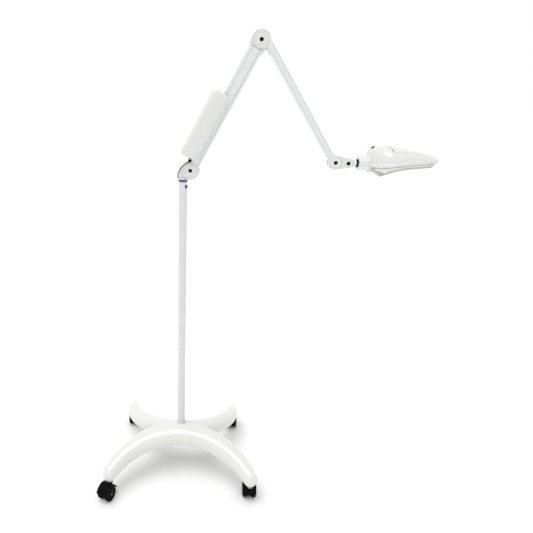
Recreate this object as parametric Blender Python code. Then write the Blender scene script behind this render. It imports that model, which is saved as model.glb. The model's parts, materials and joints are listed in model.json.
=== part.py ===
"""Magnifying lamp on a rolling four-legged stand: two-part arm, ballast box and lens head.

Metres, +Z up. The origin is on the floor under the middle of the lamp's box.
The arm works in the XZ plane; -Y is the near side.
"""
import math

import bmesh
import bpy
from mathutils import Matrix, Vector

# Places of the main axes, measured from the pole's axis at floor level
POLE_AXIS = (-0.2199, -0.0083, 0.0)
SHOULDER = (0.0214, 0.0, 1.0806)
LOWER_ARM_LENGTH = 0.3918
LOWER_ARM_RISE = math.radians(61.9)
UPPER_ARM_LENGTH = 0.3952
UPPER_ARM_FALL = math.radians(54.1)
LINK_LENGTH = 0.0365
LINK_FALL = math.radians(3.3)
HEAD_OFFSET = 0.0589

GAP = 0.0003

# Stand: each bowed pair has its side, foot place, crown place and crown (level, half width, half height)
FRONT_PAIR = (-1, (0.2375, 0.167), 0.030, (0.146, 0.040, 0.036))
REAR_PAIR = (1, (0.199, 0.187), 0.0, (0.142, 0.030, 0.030))
ARCH_FOOT = (0.087, 0.0215, 0.0275)
ARCH_WALL = 0.004
TIP_REACH = 0.021
BOSS_TOP = 0.171
WEIGHT_SIZE = (0.120, 0.072, 0.030)
WEIGHT_MIDDLE = -0.022
WEIGHT_TOP = 0.1485
CENTRE_POCKET_TOP = 0.1495

# Casters
WHEEL_RADIUS = 0.0250
WHEEL_SIDES = 18
WHEEL_WIDTH = 0.0150
WHEEL_INNER_FACE = 0.0070
CASTER_TRAIL = 0.020
CASTER_TOP = 0.0560
STEM_RADIUS = 0.0055
STEM_TOP = 0.080
AXLE_RADIUS = 0.0030
CASTER_HEADINGS = {
    "front_left": (-1, -1, 246.0),
    "front_right": (1, -1, 88.0),
    "rear_left": (-1, 1, 94.0),
    "rear_right": (1, 1, 86.0),
}

# Pole
POLE_RADIUS = 0.0125
POLE_WALL = 0.0015
POLE_BOTTOM = 0.1490
POLE_TOP = 1.0495
SPINDLE_RADIUS = 0.0080
BUSH_TOP = 1.0530

# Arm joints: tongue half-thickness, cheek faces and cap thickness, all along Y
TONGUE = 0.0045
CHEEK_IN = 0.0061
CHEEK_OUT = 0.0110
LINK_CHEEK_IN = 0.0042
LINK_CHEEK_OUT = 0.0095
CAP_THICKNESS = 0.0022
WASHER_THICKNESS = 0.0010
SCREW_RADIUS = 0.0040
SCREW_HEAD_RADIUS = 0.0048
CHEEK_RADIUS = {"shoulder": 0.0240, "elbow": 0.0228, "wrist": 0.0195, "tilt": 0.0140}
TONGUE_RADIUS = {"shoulder": 0.0275, "elbow": 0.0264, "wrist": 0.0185, "tilt": 0.0120}
SLOT_CLEARANCE = 0.0016
FOLD_ROOM = (0.045, 0.0060)  # length and top of the slot under the upper arm, where the elbow folds
SWIVEL_RADIUS = 0.0050
SWIVEL_WASHER = 0.0080

# Ballast box, in the lower arm's frame: along the arm, across it, and half its depth
BOX_ALONG = (0.029, 0.229)
BOX_ACROSS = (-0.0005, 0.0520)
BOX_HALF_DEPTH = 0.028
BOX_WALL = 0.0025
ARM_TOP_EDGE = 0.0205
ARM_LOWER_EDGE = -0.0177
LEAD_RADIUS = 0.0021

# Head: x from its rear end, z from the swivel axis
HEAD_LENGTH = 0.1845
HEAD_HALF_WIDTH = 0.081
HEAD_HEIGHT = 0.0465
SHELL_BASE = 0.0010
SHELL_WALL = 0.0025
COVER_WALL = 0.0022
COVER_REAR = 0.0440
COVER_MARGIN = 0.016
HINGE = (0.0465, 0.0435)
LENS_CENTRE = 0.107
LENS_RADIUS = 0.0552
NECK_RADIUS = 0.0195
NECK_SPAN = (-0.0297, 0.0100)
KEEL_AT = 0.0120
FRAME_INSET = 0.0040
SWITCH_PLACE = (0.0095, 0.0060, 0.0437)
SWITCH_TILT = math.radians(-38)
SWITCH_RADIUS = 0.0045

AXIS_TURN = {
    "X": Matrix.Rotation(math.pi / 2, 4, "Y"),
    "Y": Matrix.Rotation(-math.pi / 2, 4, "X"),
    "Z": Matrix.Identity(4),
}


def clear_scene():
    for thing in list(bpy.data.objects):
        bpy.data.objects.remove(thing, do_unlink=True)


def material(name, colour, roughness, metallic=0.0):
    made = bpy.data.materials.get(name)
    if made is None:
        made = bpy.data.materials.new(name)
        made.use_nodes = True
        shader = made.node_tree.nodes["Principled BSDF"]
        shader.inputs["Base Color"].default_value = (*colour, 1.0)
        shader.inputs["Roughness"].default_value = roughness
        shader.inputs["Metallic"].default_value = metallic
    return made


def white_metal():
    return material("white_metal", (0.90, 0.90, 0.89), 0.25)


def white_alloy():
    return material("white_alloy", (0.91, 0.91, 0.90), 0.25)


def white_plastic():
    return material("white_plastic", (0.88, 0.89, 0.88), 0.30)


def grey_metal():
    return material("grey_metal", (0.72, 0.72, 0.74), 0.35, 0.3)


def blue_plastic():
    return material("blue_plastic", (0.10, 0.12, 0.20), 0.45)


def black_plastic():
    return material("black_plastic", (0.015, 0.015, 0.016), 0.5)


def black_rubber():
    return material("black_rubber", (0.02, 0.02, 0.02), 0.8)


def bright_steel():
    return material("bright_steel", (0.62, 0.62, 0.64), 0.3, 1.0)


def cast_iron():
    return material("cast_iron", (0.18, 0.18, 0.19), 0.7, 0.6)


def clear_glass():
    return material("clear_glass", (0.92, 0.96, 0.96), 0.02)


def milky_plastic():
    return material("milky_plastic", (0.93, 0.93, 0.92), 0.5)


def empty(name, location, parent=None, tilt=0.0, heading=0.0):
    """A joint frame: tilt turns it about Y (down is positive), heading about Z."""
    frame = bpy.data.objects.new(name, None)
    bpy.context.collection.objects.link(frame)
    frame.empty_display_size = 0.03
    frame.parent = parent
    frame.location = location
    frame.rotation_euler = (0.0, tilt, heading)
    return frame


def piece(name, bm, finish, parent):
    bmesh.ops.recalc_face_normals(bm, faces=bm.faces)
    mesh = bpy.data.meshes.new(name)
    bm.to_mesh(mesh)
    bm.free()
    mesh.shade_smooth()
    mesh.set_sharp_from_angle(angle=math.radians(32))
    made = bpy.data.objects.new(name, mesh)
    bpy.context.collection.objects.link(made)
    if finish is not None:
        mesh.materials.append(finish)
    made.parent = parent
    return made


def combine(target, bm, operation, parent=None):
    """Join bm to the target or cut it away, by a wire-drawn helper."""
    helper = piece(f"{target.name}_{len(target.modifiers)}_helper", bm, None, parent or target.parent)
    helper.hide_render = True
    helper.display_type = "WIRE"
    step = target.modifiers.new(operation.lower(), "BOOLEAN")
    step.operation = operation
    step.solver = "EXACT"
    step.object = helper
    return target


def cut(target, *shapes):
    for bm in shapes:
        combine(target, bm, "DIFFERENCE")
    return target


def join(target, *shapes):
    for bm in shapes:
        combine(target, bm, "UNION")
    return target


def prism(outline, low, high, axis="Y"):
    """A straight solid on an outline of the other two coordinates, in X, Y, Z order."""
    slot = "XYZ".index(axis)
    bm = bmesh.new()
    rings = []
    for level in (low, high):
        ring = []
        for point in outline:
            place = list(point)
            place.insert(slot, level)
            ring.append(bm.verts.new(place))
        rings.append(ring)
    count = len(outline)
    for i in range(count):
        j = (i + 1) % count
        bm.faces.new((rings[0][i], rings[0][j], rings[1][j], rings[1][i]))
    bm.faces.new(rings[0])
    bm.faces.new(rings[1])
    return bm


def block(x, y, z):
    outline = [(x[0], y[0]), (x[1], y[0]), (x[1], y[1]), (x[0], y[1])]
    return prism(outline, z[0], z[1], "Z")


def turned(profile, axis="Z", centre=(0.0, 0.0, 0.0), sides=20, phase=0.0):
    """Turn a closed profile of (radius, height) about an axis through centre."""
    bm = bmesh.new()
    rings = []
    for radius, height in profile:
        if radius < 1e-7:
            rings.append([bm.verts.new((0.0, 0.0, height))])
            continue
        ring = []
        for i in range(sides):
            angle = phase + 2 * math.pi * i / sides
            ring.append(bm.verts.new((radius * math.cos(angle), radius * math.sin(angle), height)))
        rings.append(ring)
    for k, low in enumerate(rings):
        high = rings[(k + 1) % len(rings)]
        if len(low) == 1 and len(high) == 1:
            continue
        for i in range(sides):
            j = (i + 1) % sides
            corners = [low[i % len(low)], low[j % len(low)], high[j % len(high)], high[i % len(high)]]
            bm.faces.new(list(dict.fromkeys(corners)))
    bm.transform(Matrix.Translation(Vector(centre)) @ AXIS_TURN[axis])
    return bm


def rod(radius, low, high, axis="Z", centre=(0.0, 0.0, 0.0), sides=20, phase=0.0):
    profile = [(0.0, low), (radius, low), (radius, high), (0.0, high)]
    return turned(profile, axis, centre, sides, phase)


def ring(inner, outer, low, high, axis="Z", centre=(0.0, 0.0, 0.0), sides=20):
    profile = [(inner, low), (outer, low), (outer, high), (inner, high)]
    return turned(profile, axis, centre, sides)


def arc(centre, radius, start, end, steps):
    points = []
    for i in range(steps + 1):
        angle = start + (end - start) * i / steps
        points.append((centre[0] + radius * math.cos(angle), centre[1] + radius * math.sin(angle)))
    return points


def disc(centre, radius, sides=24):
    return arc(centre, radius, 0.0, 2 * math.pi * (sides - 1) / sides, sides - 1)


def tapered(first, first_radius, second, second_radius, steps=10):
    """Outline round two discs and the straight tangents between them."""
    run = Vector(second) - Vector(first)
    heading = math.atan2(run.y, run.x)
    spread = math.acos((first_radius - second_radius) / run.length)
    near = arc(first, first_radius, heading + spread, heading + 2 * math.pi - spread, steps)
    far = arc(second, second_radius, heading - spread, heading + spread, steps)
    return near + far


# ---- stand ----


def arch(pair, inset=0.0, drop=0.0, end_gap=0.0, stations=17, around=12):
    """One bowed pair of legs; its side is -1 in front of the pole and 1 behind it."""
    side, foot, offset, crown = pair
    reach = foot[1] - offset
    radius = (foot[0] ** 2 + reach ** 2) / (2 * reach)
    foot_angle = math.asin(foot[0] / radius)
    tip_angle = foot_angle + (TIP_REACH - end_gap) / radius
    bm = bmesh.new()
    rings = []
    for i in range(stations):
        share = math.sin(math.pi / 2 * (2 * i / (stations - 1) - 1))
        angle = tip_angle * share
        blend = min(1.0, abs(angle) / foot_angle) ** 2
        level, width, height = (m + (f - m) * blend for m, f in zip(crown, ARCH_FOOT))
        to_tip = radius * (tip_angle - abs(angle)) / TIP_REACH
        shrink = math.sqrt(max(0.03, 1 - max(0.0, 1 - to_tip) ** 2)) if inset == 0.0 else 1.0
        width = (width - inset) * shrink
        height = (height - inset) * shrink
        along = side * (offset + radius * (1 - math.cos(angle)))
        middle = Vector((radius * math.sin(angle), along, level))
        across = Vector((-math.sin(angle), side * math.cos(angle), 0.0))
        loop = []
        for k in range(around):
            turn = 2 * math.pi * (k + 0.5) / around
            out = math.copysign(abs(math.cos(turn)) ** 0.85, math.cos(turn)) * width
            up = math.copysign(abs(math.sin(turn)) ** 0.85, math.sin(turn)) * height
            if up < 0.0:
                up -= drop
            loop.append(bm.verts.new(middle + across * out + Vector((0.0, 0.0, up))))
        rings.append(loop)
    for low, high in zip(rings, rings[1:]):
        for k in range(around):
            j = (k + 1) % around
            bm.faces.new((low[k], low[j], high[j], high[k]))
    bm.faces.new(rings[0])
    bm.faces.new(rings[-1])
    return bm


def foot_place(across, along):
    foot = FRONT_PAIR[1] if along < 0 else REAR_PAIR[1]
    return across * foot[0], along * foot[1]


def build_base(stand):
    hollow = {"inset": ARCH_WALL, "drop": 0.03, "end_gap": 0.062, "stations": 13}
    base = piece("base_casting", arch(FRONT_PAIR), white_metal(), stand)
    join(base, arch(REAR_PAIR))
    cut(base, arch(FRONT_PAIR, **hollow), arch(REAR_PAIR, **hollow))
    join(base, rod(0.022, CENTRE_POCKET_TOP - 0.002, BOSS_TOP))
    half_x, y = weight_room(0.003)
    cut(base, block((-half_x, half_x), y, (0.09, CENTRE_POCKET_TOP)))
    cut(base, rod(0.0168, 0.1640, 0.20), rod(POLE_RADIUS + GAP, 0.12, 0.20))
    for across, along, _ in CASTER_HEADINGS.values():
        place = (*foot_place(across, along), 0.0)
        cut(base, rod(STEM_RADIUS + GAP, 0.05, STEM_TOP + GAP, centre=place, sides=14))
    return base


def weight_room(margin=0.0):
    """Half length and Y span of the weight, with a margin all round."""
    half = 0.5 * WEIGHT_SIZE[1] + margin
    return 0.5 * WEIGHT_SIZE[0] + margin, (WEIGHT_MIDDLE - half, WEIGHT_MIDDLE + half)


def build_base_fittings(stand):
    half_x, y = weight_room()
    span = (WEIGHT_TOP - WEIGHT_SIZE[2], WEIGHT_TOP)
    weight = piece("base_weight", block((-half_x, half_x), y, span), cast_iron(), stand)
    cut(weight, rod(SCREW_RADIUS + GAP, 0.09, 0.16))
    head = WEIGHT_TOP - WEIGHT_SIZE[2] - GAP
    profile = [(0.0, head - 0.006), (0.0075, head - 0.006), (0.0075, head), (SCREW_RADIUS, head)]
    profile += [(SCREW_RADIUS, 0.166), (0.0, 0.166)]
    piece("pole_bolt", turned(profile, sides=14), bright_steel(), stand)
    plug_radius = POLE_RADIUS - POLE_WALL - GAP
    plug = ring(SCREW_RADIUS + GAP, plug_radius, POLE_BOTTOM + GAP, 0.172)
    piece("pole_foot_plug", plug, cast_iron(), stand)
    inner = POLE_RADIUS + GAP
    collar = [(inner, 0.1643), (0.0165, 0.1643), (0.0165, 0.176), (0.0158, 0.180)]
    collar += [(0.0146, 0.184), (0.0141, 0.188), (inner, 0.188)]
    piece("pole_collar", turned(collar), grey_metal(), stand)


def build_caster(name, stand, across, along, heading):
    x, y = foot_place(across, along)
    swivel = empty(f"{name}_swivel", (x, y, 0.0), stand, heading=math.radians(heading))
    axle_height = WHEEL_RADIUS * math.cos(math.pi / WHEEL_SIDES)
    hub = (CASTER_TRAIL, axle_height)
    fork = prism(tapered(hub, 0.010, (0.004, 0.046), 0.009, 5), -0.0055, 0.0055)
    fork = piece(f"{name}_caster_fork", fork, black_plastic(), swivel)
    hood_outer = arc(hub, WHEEL_RADIUS + 0.0055, math.radians(20), math.radians(165), 7)
    hood_inner = arc(hub, WHEEL_RADIUS + 0.0025, math.radians(165), math.radians(20), 7)
    half = WHEEL_INNER_FACE + WHEEL_WIDTH
    join(fork, prism(hood_outer + hood_inner, -half, half))
    shoulder = [(0.0, 0.0495), (0.0105, 0.0495), (0.0105, CASTER_TOP), (STEM_RADIUS, CASTER_TOP)]
    shoulder += [(STEM_RADIUS, STEM_TOP), (0.0, STEM_TOP)]
    join(fork, turned(shoulder, sides=14))
    cut(fork, rod(AXLE_RADIUS + GAP, -0.02, 0.02, "Y", (hub[0], 0.0, hub[1]), 12))
    axle = empty(f"{name}_axle_frame", (hub[0], 0.0, hub[1]), swivel)
    reach = half - 0.001
    piece(f"{name}_caster_axle", rod(AXLE_RADIUS, -reach, reach, "Y", sides=12), bright_steel(), axle)
    flat = math.pi / WHEEL_SIDES
    for side, direction in (("near", -1), ("far", 1)):
        wheel = wheel_profile(direction)
        wheel = turned(wheel, "Y", sides=WHEEL_SIDES, phase=math.pi / 2 - flat)
        piece(f"{name}_wheel_{side}", wheel, black_rubber(), axle)


def wheel_profile(direction):
    inner, outer = WHEEL_INNER_FACE, WHEEL_INNER_FACE + WHEEL_WIDTH
    bore = AXLE_RADIUS + GAP
    points = [(bore, inner), (WHEEL_RADIUS, inner), (WHEEL_RADIUS, outer - 0.003)]
    points += [(WHEEL_RADIUS - 0.003, outer), (bore, outer)]
    return [(radius, direction * level) for radius, level in points]


# ---- pole and shoulder bracket ----


def build_pole(stand):
    tube = ring(POLE_RADIUS - POLE_WALL, POLE_RADIUS, POLE_BOTTOM, POLE_TOP)
    tube = piece("pole_tube", tube, grey_metal(), stand)
    angle = math.radians(-40)
    way = Matrix.Rotation(angle, 4, "Z") @ Matrix.Translation((0.0, 0.0, POLE_TOP - 0.0165))
    hole = rod(0.0023, 0.0060, 0.0200, "X", sides=12)
    hole.transform(way)
    cut(tube, hole)
    bore, skirt = SPINDLE_RADIUS + GAP, POLE_RADIUS - POLE_WALL - GAP
    low, lip = POLE_TOP - 0.055, POLE_TOP + GAP
    profile = [(bore, low), (skirt, low), (skirt, lip), (0.0136, lip), (0.0136, BUSH_TOP - 0.001)]
    profile += [(0.0126, BUSH_TOP), (bore, BUSH_TOP)]
    bush = piece("pole_bush", turned(profile), blue_plastic(), stand)
    thread = rod(0.0023, 0.0060, 0.0200, "X", sides=12)
    thread.transform(way)
    cut(bush, thread)
    screw = rod(0.0020, SPINDLE_RADIUS + GAP, 0.0132, "X", sides=12)
    screw.transform(way)
    piece("bush_grub_screw", screw, black_plastic(), stand)


def build_bracket(pan):
    """The swivelling knuckle on the pole: spindle, foot and the shoulder tongue."""
    low = BUSH_TOP + GAP
    profile = [(0.0, POLE_TOP - 0.060), (SPINDLE_RADIUS, POLE_TOP - 0.060), (SPINDLE_RADIUS, low)]
    profile += [(0.0124, low), (0.0124, low + 0.0033), (0.0, low + 0.0033)]
    bracket = piece("shoulder_bracket", turned(profile), white_alloy(), pan)
    centre = (SHOULDER[0], SHOULDER[2])
    join(bracket, prism(disc(centre, TONGUE_RADIUS["shoulder"]), -TONGUE, TONGUE))
    web = [(-0.0185, low), (0.0135, low), (0.0300, 1.0600), centre, (0.0100, 1.1040)]
    web += [(-0.0040, 1.0920), (-0.0118, 1.0760), (-0.0118, low + 0.0065), (-0.0185, low + 0.0065)]
    join(bracket, prism(web, -TONGUE, TONGUE))
    cut(bracket, pivot_hole((SHOULDER[0], 0.0, SHOULDER[2])))


def pivot_hole(centre):
    return rod(SCREW_RADIUS + GAP, -0.03, 0.03, "Y", centre, 14)


def pivot_fittings(name, frame, cheek_out, cap_radius):
    """Through screw with its nut, and the round cap that frames the screw's head."""
    head = cheek_out + GAP
    profile = [(0.0, -head - 0.0022), (SCREW_HEAD_RADIUS, -head - 0.0022), (SCREW_HEAD_RADIUS, -head)]
    profile += [(SCREW_RADIUS, -head), (SCREW_RADIUS, head), (0.0072, head), (0.0072, head + 0.0035)]
    profile += [(0.0, head + 0.0035)]
    piece(f"{name}_pivot_screw", turned(profile, "Y", sides=14), black_plastic(), frame)
    low, high = -head - CAP_THICKNESS, -head
    cap = [(0.0055, low), (cap_radius - 0.0012, low), (cap_radius, low + 0.0008), (cap_radius, high)]
    cap += [(0.0055, high)]
    piece(f"{name}_cap", turned(cap, "Y"), white_plastic(), frame)


def friction_washer(name, frame, radius, side):
    start = side * (TONGUE + GAP)
    end = start + side * WASHER_THICKNESS
    washer = ring(SCREW_RADIUS + GAP, radius, start, end, "Y")
    piece(name, washer, black_plastic(), frame)


# ---- lower arm and ballast box ----


def build_lower_arm(arm):
    length = LOWER_ARM_LENGTH
    body_end = length - CHEEK_RADIUS["elbow"] - 0.0012
    half, raised = CHEEK_OUT - 0.0030, CHEEK_OUT
    top, bottom = ARM_TOP_EDGE, ARM_LOWER_EDGE
    band_top, band_bottom = 0.0097, -0.0092
    right = [(half, bottom), (half, band_bottom), (raised, band_bottom)]
    right += [(raised, band_top), (half, band_top), (half, top)]
    section = right + [(-y, z) for y, z in reversed(right)]
    body = piece("lower_arm", prism(section, 0.012, body_end, "X"), white_alloy(), arm)
    join(body, prism(disc((0.0, 0.0), CHEEK_RADIUS["shoulder"]), -CHEEK_OUT, CHEEK_OUT))
    tongue = tapered((length - 0.045, 0.0015), 0.0170, (length, 0.0), TONGUE_RADIUS["elbow"])
    join(body, prism(tongue, -TONGUE, TONGUE))
    slot = disc((0.0, 0.0), TONGUE_RADIUS["shoulder"] + SLOT_CLEARANCE)
    cut(body, prism(slot, -CHEEK_IN, CHEEK_IN), pivot_hole((0, 0, 0)), pivot_hole((length, 0, 0)))


def rounded_box(x, y, z, radius, segments=3):
    """A box whose edges are all rounded."""
    bm = block(x, y, z)
    bmesh.ops.bevel(
        bm, geom=bm.edges[:], offset=radius, offset_type="OFFSET", segments=segments, profile=0.5, affect="EDGES"
    )
    return bm


def box_half(name, arm, side):
    """One half of the ballast box: a C-shaped shell that closes over the arm's upper edge."""
    deep = BOX_HALF_DEPTH
    shell = rounded_box(BOX_ALONG, (-deep, deep), BOX_ACROSS, 0.0125, 4)
    shell = piece(name, shell, white_plastic(), arm)
    inner_x = (BOX_ALONG[0] + BOX_WALL, BOX_ALONG[1] - BOX_WALL)
    inner_y = (-deep + BOX_WALL, deep - BOX_WALL)
    inner_z = (BOX_ACROSS[0] + BOX_WALL, BOX_ACROSS[1] - BOX_WALL)
    cut(shell, rounded_box(inner_x, inner_y, inner_z, 0.0100, 3))
    notch = CHEEK_OUT + GAP
    cut(shell, block((0.0, 0.3), (-notch, notch), (-0.02, ARM_TOP_EDGE + GAP)))
    seam = 0.5 * GAP
    away = (-0.05, seam) if side > 0 else (-seam, 0.05)
    cut(shell, block((0.0, 0.3), away, (-0.03, 0.08)))


def build_ballast_box(arm):
    box_half("ballast_box_front", arm, -1)
    box_half("ballast_box_rear", arm, 1)
    base = ARM_TOP_EDGE + GAP
    piece("ballast_unit", block((0.070, 0.180), (-0.018, 0.018), (base, base + 0.023)), cast_iron(), arm)
    start = BOX_ALONG[0] - GAP
    profile = [(0.0, start - 0.008), (0.0036, start - 0.008), (0.0046, start - 0.003), (0.0046, start), (0.0, start)]
    piece("lead_gland", turned(profile, "X", (0, -0.0220, 0.0160), 16), black_plastic(), arm)


def build_ballast_lead(arm, pan):
    """The short lead from the box's gland, round the shoulder, to the bracket."""
    turn = Matrix.Rotation(-LOWER_ARM_RISE, 4, "Y")
    gland = Vector(SHOULDER) + turn @ Vector((BOX_ALONG[0] - 0.0086, -0.0220, 0.0160))
    route = [gland, gland + turn @ Vector((-0.004, 0.0, 0.0005))]
    route += [Vector(p) for p in ((0.0075, -0.0235, 1.1075), (-0.0025, -0.0225, 1.0965))]
    route += [Vector(p) for p in ((-0.0105, -0.0185, 1.0830), (-0.0148, -0.0110, 1.0720))]
    route += [Vector((-0.0150, -0.0025, 1.0645)), Vector((-0.0150, -0.0010, BUSH_TOP + 0.0071))]
    curve = bpy.data.curves.new("ballast_lead", "CURVE")
    curve.dimensions = "3D"
    curve.bevel_depth = LEAD_RADIUS
    curve.bevel_resolution = 2
    curve.use_fill_caps = True
    points = smooth_route(route, 3)
    spline = curve.splines.new("POLY")
    spline.points.add(len(points) - 1)
    for slot, point in zip(spline.points, points):
        slot.co = (*point, 1.0)
    curve.materials.append(black_plastic())
    lead = bpy.data.objects.new("ballast_lead", curve)
    bpy.context.collection.objects.link(lead)
    lead.parent = pan


def smooth_route(route, steps):
    """Points of a smooth curve through the route."""
    points = []
    for i in range(len(route) - 1):
        before, start = route[max(i - 1, 0)], route[i]
        end, after = route[i + 1], route[min(i + 2, len(route) - 1)]
        for k in range(steps):
            t = k / steps
            lead_in = 0.5 * (end - before)
            lead_out = 0.5 * (after - start)
            cubic = (2 * t ** 3 - 3 * t ** 2 + 1) * start + (t ** 3 - 2 * t ** 2 + t) * lead_in
            points.append(cubic + (3 * t ** 2 - 2 * t ** 3) * end + (t ** 3 - t ** 2) * lead_out)
    points.append(route[-1])
    return points


# ---- upper arm, link and neck ----


def build_upper_arm(arm):
    length = UPPER_ARM_LENGTH
    outline = [(0.0, 0.0022), (length, -0.0128), (length, 0.0065), (0.0, 0.0215)]
    body = piece("upper_arm", prism(outline, -CHEEK_OUT, CHEEK_OUT), white_alloy(), arm)
    join(body, prism(disc((0.0, 0.0), CHEEK_RADIUS["elbow"]), -CHEEK_OUT, CHEEK_OUT))
    join(body, prism(disc((length, 0.0), CHEEK_RADIUS["wrist"]), -CHEEK_OUT, CHEEK_OUT))
    elbow_slot = disc((0.0, 0.0), TONGUE_RADIUS["elbow"] + SLOT_CLEARANCE)
    wrist_slot = disc((length, 0.0), TONGUE_RADIUS["wrist"] + SLOT_CLEARANCE)
    cut(body, prism(elbow_slot, -CHEEK_IN, CHEEK_IN), prism(wrist_slot, -CHEEK_IN, CHEEK_IN))
    cut(body, block((0.0, FOLD_ROOM[0]), (-CHEEK_IN, CHEEK_IN), (-0.03, FOLD_ROOM[1])))
    cut(body, pivot_hole((0, 0, 0)), pivot_hole((length, 0, 0)))


def build_link(frame):
    far = (LINK_LENGTH, 0.0)
    outline = tapered((0.0, 0.0), TONGUE_RADIUS["wrist"], far, CHEEK_RADIUS["tilt"])
    link = piece("head_link", prism(outline, -LINK_CHEEK_OUT, LINK_CHEEK_OUT), white_alloy(), frame)
    round_wrist = CHEEK_RADIUS["wrist"] + 0.0010
    for side in (-1, 1):
        face, beyond = side * TONGUE, side * 0.02
        cut(link, prism(disc((0.0, 0.0), round_wrist), min(face, beyond), max(face, beyond)))
    slot = disc(far, TONGUE_RADIUS["tilt"] + 0.0010, 22)
    cut(link, prism(slot, -LINK_CHEEK_IN, LINK_CHEEK_IN))
    slot_top, slot_bottom = 0.0108, -0.0108
    way_out = block((LINK_LENGTH, 0.07), (-LINK_CHEEK_IN, LINK_CHEEK_IN), (slot_bottom - 0.006, slot_top + 0.006))
    cut(link, way_out, pivot_hole((0, 0, 0)), pivot_hole((LINK_LENGTH, 0, 0)))


def build_tilt_eye(frame):
    """The eye in the link's fork, with the spindle that the head swivels on."""
    thick = LINK_CHEEK_IN - 0.0006
    eye = prism(disc((0.0, 0.0), TONGUE_RADIUS["tilt"], 22), -thick, thick)
    eye = piece("tilt_eye", eye, white_alloy(), frame)
    flange = CHEEK_RADIUS["tilt"] + GAP
    seat = HEAD_OFFSET + NECK_SPAN[0] - GAP - SWIVEL_WASHER - GAP
    profile = [(0.0, 0.006), (thick, 0.006), (thick, flange), (0.0105, flange), (0.0105, seat)]
    profile += [(SWIVEL_RADIUS, seat), (SWIVEL_RADIUS, HEAD_OFFSET - 0.003), (0.0, HEAD_OFFSET - 0.003)]
    join(eye, turned(profile, "X", sides=18))
    cut(eye, pivot_hole((0, 0, 0)))
    washer = ring(SWIVEL_RADIUS + GAP, 0.0112, seat + GAP, seat + GAP + SWIVEL_WASHER, "X")
    piece("swivel_washer", washer, black_rubber(), frame)


# ---- head ----


def rounding(share, power):
    held = min(max(share, 0.0), 1.0)
    return (1 - (1 - held) ** power) ** (1 / power)


def half_width(share):
    taper = 1 - 0.42 * max(0.0, (share - 0.35) / 0.65) ** 1.6
    return HEAD_HALF_WIDTH * taper * rounding(share / 0.24, 2.4) * rounding((1 - share) / 0.16, 2.0)


def crest(share):
    fall = 1 - 0.60 * max(0.0, (share - 0.24) / 0.76) ** 1.5
    return HEAD_HEIGHT * fall * rounding(share / 0.13, 3.0) * rounding((1 - share) / 0.12, 2.0)


def end_spaced(count):
    """Shares from one end to the other, close together at both ends."""
    shares = []
    for i in range(count):
        shares.append(0.5 - 0.5 * math.cos(math.pi * (i + 0.4) / (count - 0.2)))
    return shares


def head_form(inset=0.0, floor=SHELL_BASE, stations=15, around=12):
    """The streamlined solid of the head, flat below; inset shrinks it evenly."""
    bm = bmesh.new()
    rings = []
    for share in end_spaced(stations):
        x = inset + share * (HEAD_LENGTH - 2 * inset)
        width = half_width(share) * (1 - inset / HEAD_HALF_WIDTH)
        height = crest(share) * (1 - inset / HEAD_HEIGHT)
        loop = [bm.verts.new((x, width, floor))]
        for k in range(around + 1):
            turn = math.pi * k / around
            y = math.copysign(abs(math.cos(turn)) ** 0.62, math.cos(turn)) * width
            z = abs(math.sin(turn)) ** 0.77 * height
            loop.append(bm.verts.new((x, y, SHELL_BASE + 0.0001 + z)))
        loop.append(bm.verts.new((x, -width, floor)))
        rings.append(loop)
    count = len(rings[0])
    for low, high in zip(rings, rings[1:]):
        for k in range(count):
            j = (k + 1) % count
            bm.faces.new((low[k], low[j], high[j], high[k]))
    bm.faces.new(rings[0])
    bm.faces.new(rings[-1])
    return bm


def plan(inset, stations=15):
    """The head's outline from above, shrunk by inset, with a station at the keel's point."""
    points = []
    shares = end_spaced(stations) + [(KEEL_AT - FRAME_INSET) / (HEAD_LENGTH - 2 * FRAME_INSET)]
    for share in sorted(shares):
        x = inset + share * (HEAD_LENGTH - 2 * inset)
        points.append((x, half_width(share) * (1 - inset / HEAD_HALF_WIDTH)))
    return points + [(x, -y) for x, y in reversed(points)]


def cover_outline(margin, rear):
    """The lens cover's outline from above, with a straight rear edge."""
    kept = [(x, y) for x, y in plan(margin, 20) if x > rear + 0.002 and y > 0]
    share = (rear - margin) / (HEAD_LENGTH - 2 * margin)
    side = [(rear, half_width(share) * (1 - margin / HEAD_HALF_WIDTH))] + kept
    return side + [(x, -y) for x, y in reversed(side)]


def keel(x):
    """Lower edge of the head: a V whose point is near the rear."""
    if x < KEEL_AT:
        return -0.0205 - 0.0107 * (x / KEEL_AT) ** 1.4
    return -0.0058 - 0.0254 * math.exp(-(x - KEEL_AT) / 0.0345)


def skirt(section):
    """Sweep a section of (inset, height function) round the head's outline.

    Heights are read at the outer wall, so that sections keep their gaps where the keel slopes.
    """
    bm = bmesh.new()
    loops = []
    wall = [x for x, _ in plan(FRAME_INSET)]
    for inset, level in section:
        loops.append([bm.verts.new((x, y, level(at))) for (x, y), at in zip(plan(inset), wall)])
    count = len(loops[0])
    for k, low in enumerate(loops):
        high = loops[(k + 1) % len(loops)]
        for i in range(count):
            j = (i + 1) % count
            bm.faces.new((low[i], low[j], high[j], high[i]))
    return bm


def neck_outline(radius):
    return arc((0.0, 0.0), radius / math.cos(math.pi / 8), math.pi / 8, math.pi / 8 + 1.75 * math.pi, 7)


def neck_room():
    return prism(neck_outline(NECK_RADIUS + GAP), NECK_SPAN[0] - 0.01, NECK_SPAN[1] + GAP, "X")


def build_neck(head):
    neck = prism(neck_outline(NECK_RADIUS), NECK_SPAN[0], NECK_SPAN[1], "X")
    neck = piece("neck_block", neck, white_alloy(), head)
    cut(neck, rod(SWIVEL_RADIUS + GAP, NECK_SPAN[0] - 0.01, -0.0025, "X"))


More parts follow.
